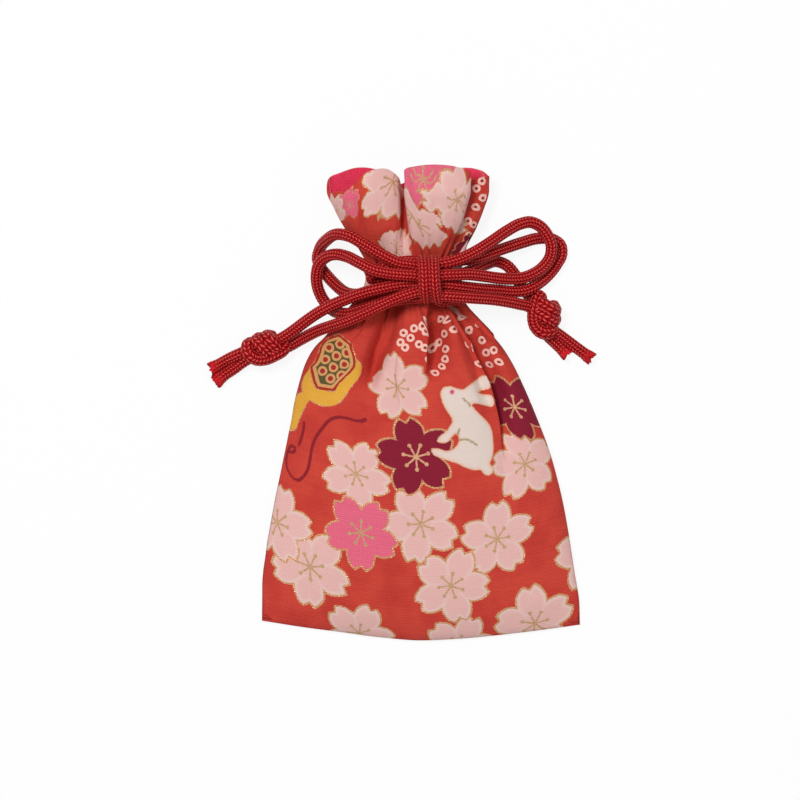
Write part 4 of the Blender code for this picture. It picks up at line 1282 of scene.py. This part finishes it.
clothMesh, clothRows = addCloth()
cloth = addPiece("printed_cloth", clothMesh, cottonMaterial(), "printed_cotton", "outer_cloth")
print("cloth made, faces:", len(clothMesh.polygons))


lining = {
    "threadPitch": 0.3,
    "colour": (222, 36, 72),
    "light": (240, 58, 96),
    "floorRise": 0.5,
    "floorRings": (0.15, 0.5, 0.8),     # sizes of the rings that close it below
    "cleftX": -3.5,
    "cleftReach": 1.6,
}


def liningMaterial():
    # plain weave: the mean of a cosine along each thread direction
    paint = Paint("lining_cloth")
    u, v = paint.uvParts("thread")
    place = paint.uv("thread")
    broad = paint.noise(place, 0.15, 2.0)
    colour = paint.mix(broad, linear(*lining["colour"]), linear(*lining["light"]))
    threads = paint.cosine(v * 2 * math.pi) * 0.5 + paint.cosine(u * 2 * math.pi) * 0.5
    normal = paint.bump(threads + paint.noise(place, 0.7, 3.0) * 1.5, 0.00005)
    constants = {"Specular IOR Level": 0.35, "Sheen Weight": 0.3, "Sheen Roughness": 0.35}
    return paint.finish(constants, {"Base Color": colour, "Roughness": 0.55 + broad * 0.1, "Normal": normal})


def cleftMiddle(ring):
    # place halfway between the front and the back where the front dips deepest between its two lobes
    front = ring[:bag["frontColumns"]]
    back = ring[bag["frontColumns"]:]
    lobes = front[np.abs(front[:, 0] - lining["cleftX"]) < lining["cleftReach"]]
    dip = lobes[np.argmin(lobes[:, 2])]
    under = back[np.argmin(np.abs(back[:, 0] - dip[0]))]
    return (dip + under) / 2


def addLining(rows):
    # a cup inside the frill: outer skin up from the gathers to the rim, inner skin down again, both closed
    # below by rings that draw in to the middle
    frill = rows[bag["bodyRows"]:]
    normal = sideNormal(frill)
    depth = bag["mouthDepth"] - lining["floorRise"]
    first = round((1 - depth / bag["frillLength"]) * bag["frillRows"])
    outside = frill - normal * (bag["wall"] + bag["liningGap"])
    inside = frill - normal * (bag["wall"] + bag["liningGap"] + bag["liningWall"])
    outside = outside[first:]
    inside = inside[first + 1:][::-1]
    outside[-1, :, 1] -= 0.1
    lip = (outside[-1] + inside[0]) / 2 + np.array([0, 0.12, 0])
    low = cleftMiddle(outside[0])
    high = cleftMiddle(inside[-1])
    floorOut = [low + (outside[0] - low) * k for k in lining["floorRings"]]
    floorIn = [high + (inside[-1] - high) * k for k in lining["floorRings"][::-1]]
    grid = np.concatenate([floorOut, outside, [lip], inside, floorIn])
    total, columns = grid.shape[:2]
    quads = ringQuads(total, columns)
    c = np.arange(columns)
    d = (c + 1) % columns
    count = total * columns
    under = np.stack([np.full(columns, count), d, c], axis=-1)
    above = np.stack([np.full(columns, count + 1), count - columns + c, count - columns + d], axis=-1)
    middles = [low, high]
    mesh = newMesh("lining_cup", np.concatenate([grid.reshape(-1, 3), middles]), [quads, under, above])
    run = np.concatenate([[0], np.cumsum(np.linalg.norm(np.diff(outside[-1], axis=0), axis=1))])
    corner = np.minimum(np.concatenate([quads.ravel(), under.ravel(), above.ravel()]), count - 1)
    uv = np.stack([run[corner % columns], grid.reshape(-1, 3)[corner][:, 1]], axis=-1)
    cornerUv(mesh, "thread", uv / lining["threadPitch"])
    return mesh


liningPiece = addPiece("lining_cup", addLining(clothRows), liningMaterial(), "lining_cloth", "lining")
print("lining made")


# Floor and light

studio = {
    "floorSize": 3,
    "floorShade": (0.9, 0.9, 0.9, 1),
    "floorWhite": 0.9,        # share of plain white in what the camera sees of the floor; the rest is lit
    "white": (1, 1, 1, 1),
    "worldStrength": 0.36,
    "key": {"at": (-0.2, 0.2, 0.72), "size": 0.2, "watts": 3.85},
    "fill": {"at": (0.44, 0.0, 0.6), "size": 0.5, "watts": 0.7},
}


def addStage():
    # a floor that shows white to the camera and keeps the bag's shadow
    bpy.ops.mesh.primitive_plane_add(size=studio["floorSize"])
    floor = bpy.context.object
    floor.name = "floor"
    floor.location = (0, 0, -0.0001)
    paint = Paint("floor")
    paint.shader.inputs["Base Color"].default_value = studio["floorShade"]
    paint.shader.inputs["Roughness"].default_value = 1
    paint.shader.inputs["Specular IOR Level"].default_value = 0
    rays = paint.node("ShaderNodeLightPath")
    outputs = rays.socket.node.outputs
    seen = Value(paint, outputs["Is Camera Ray"]) + Value(paint, outputs["Is Glossy Ray"])
    seen = paint.least(seen + Value(paint, outputs["Is Transmission Ray"]), 1.0)
    white = paint.node("ShaderNodeEmission", {}, {"Color": studio["white"], "Strength": 1.0})
    lit = Value(paint, paint.shader.outputs[0])
    both = paint.node("ShaderNodeMixShader", {}, [seen * studio["floorWhite"], lit, white])
    paint.tree.links.new(both.socket, paint.tree.nodes["Material Output"].inputs["Surface"])
    floor.data.materials.append(paint.material)


def addWorld():
    # plain light for the bag; camera rays see white
    world = bpy.data.worlds.new("studio")
    bpy.context.scene.world = world
    world.use_nodes = True
    tree = world.node_tree
    plain = tree.nodes["Background"]
    plain.inputs["Color"].default_value = studio["white"]
    plain.inputs["Strength"].default_value = studio["worldStrength"]
    white = tree.nodes.new("ShaderNodeBackground")
    white.inputs["Color"].default_value = studio["white"]
    white.inputs["Strength"].default_value = 1.0
    rays = tree.nodes.new("ShaderNodeLightPath")
    mixed = tree.nodes.new("ShaderNodeMixShader")
    tree.links.new(rays.outputs["Is Camera Ray"], mixed.inputs[0])
    tree.links.new(plain.outputs[0], mixed.inputs[1])
    tree.links.new(white.outputs[0], mixed.inputs[2])
    tree.links.new(mixed.outputs[0], tree.nodes["World Output"].inputs["Surface"])


def addLamp(name):
    # a square lamp that faces the bag's middle
    data = bpy.data.lights.new(name, "AREA")
    data.size = studio[name]["size"]
    data.energy = studio[name]["watts"]
    lamp = bpy.data.objects.new(name, data)
    lamp.location = studio[name]["at"]
    lamp.rotation_euler = (-lamp.location).to_track_quat("-Z", "Y").to_euler()
    bpy.context.scene.collection.objects.link(lamp)


addStage()
addWorld()
addLamp("key")
addLamp("fill")
bpy.context.scene.view_settings.view_transform = "Standard"
print("floor and light made")
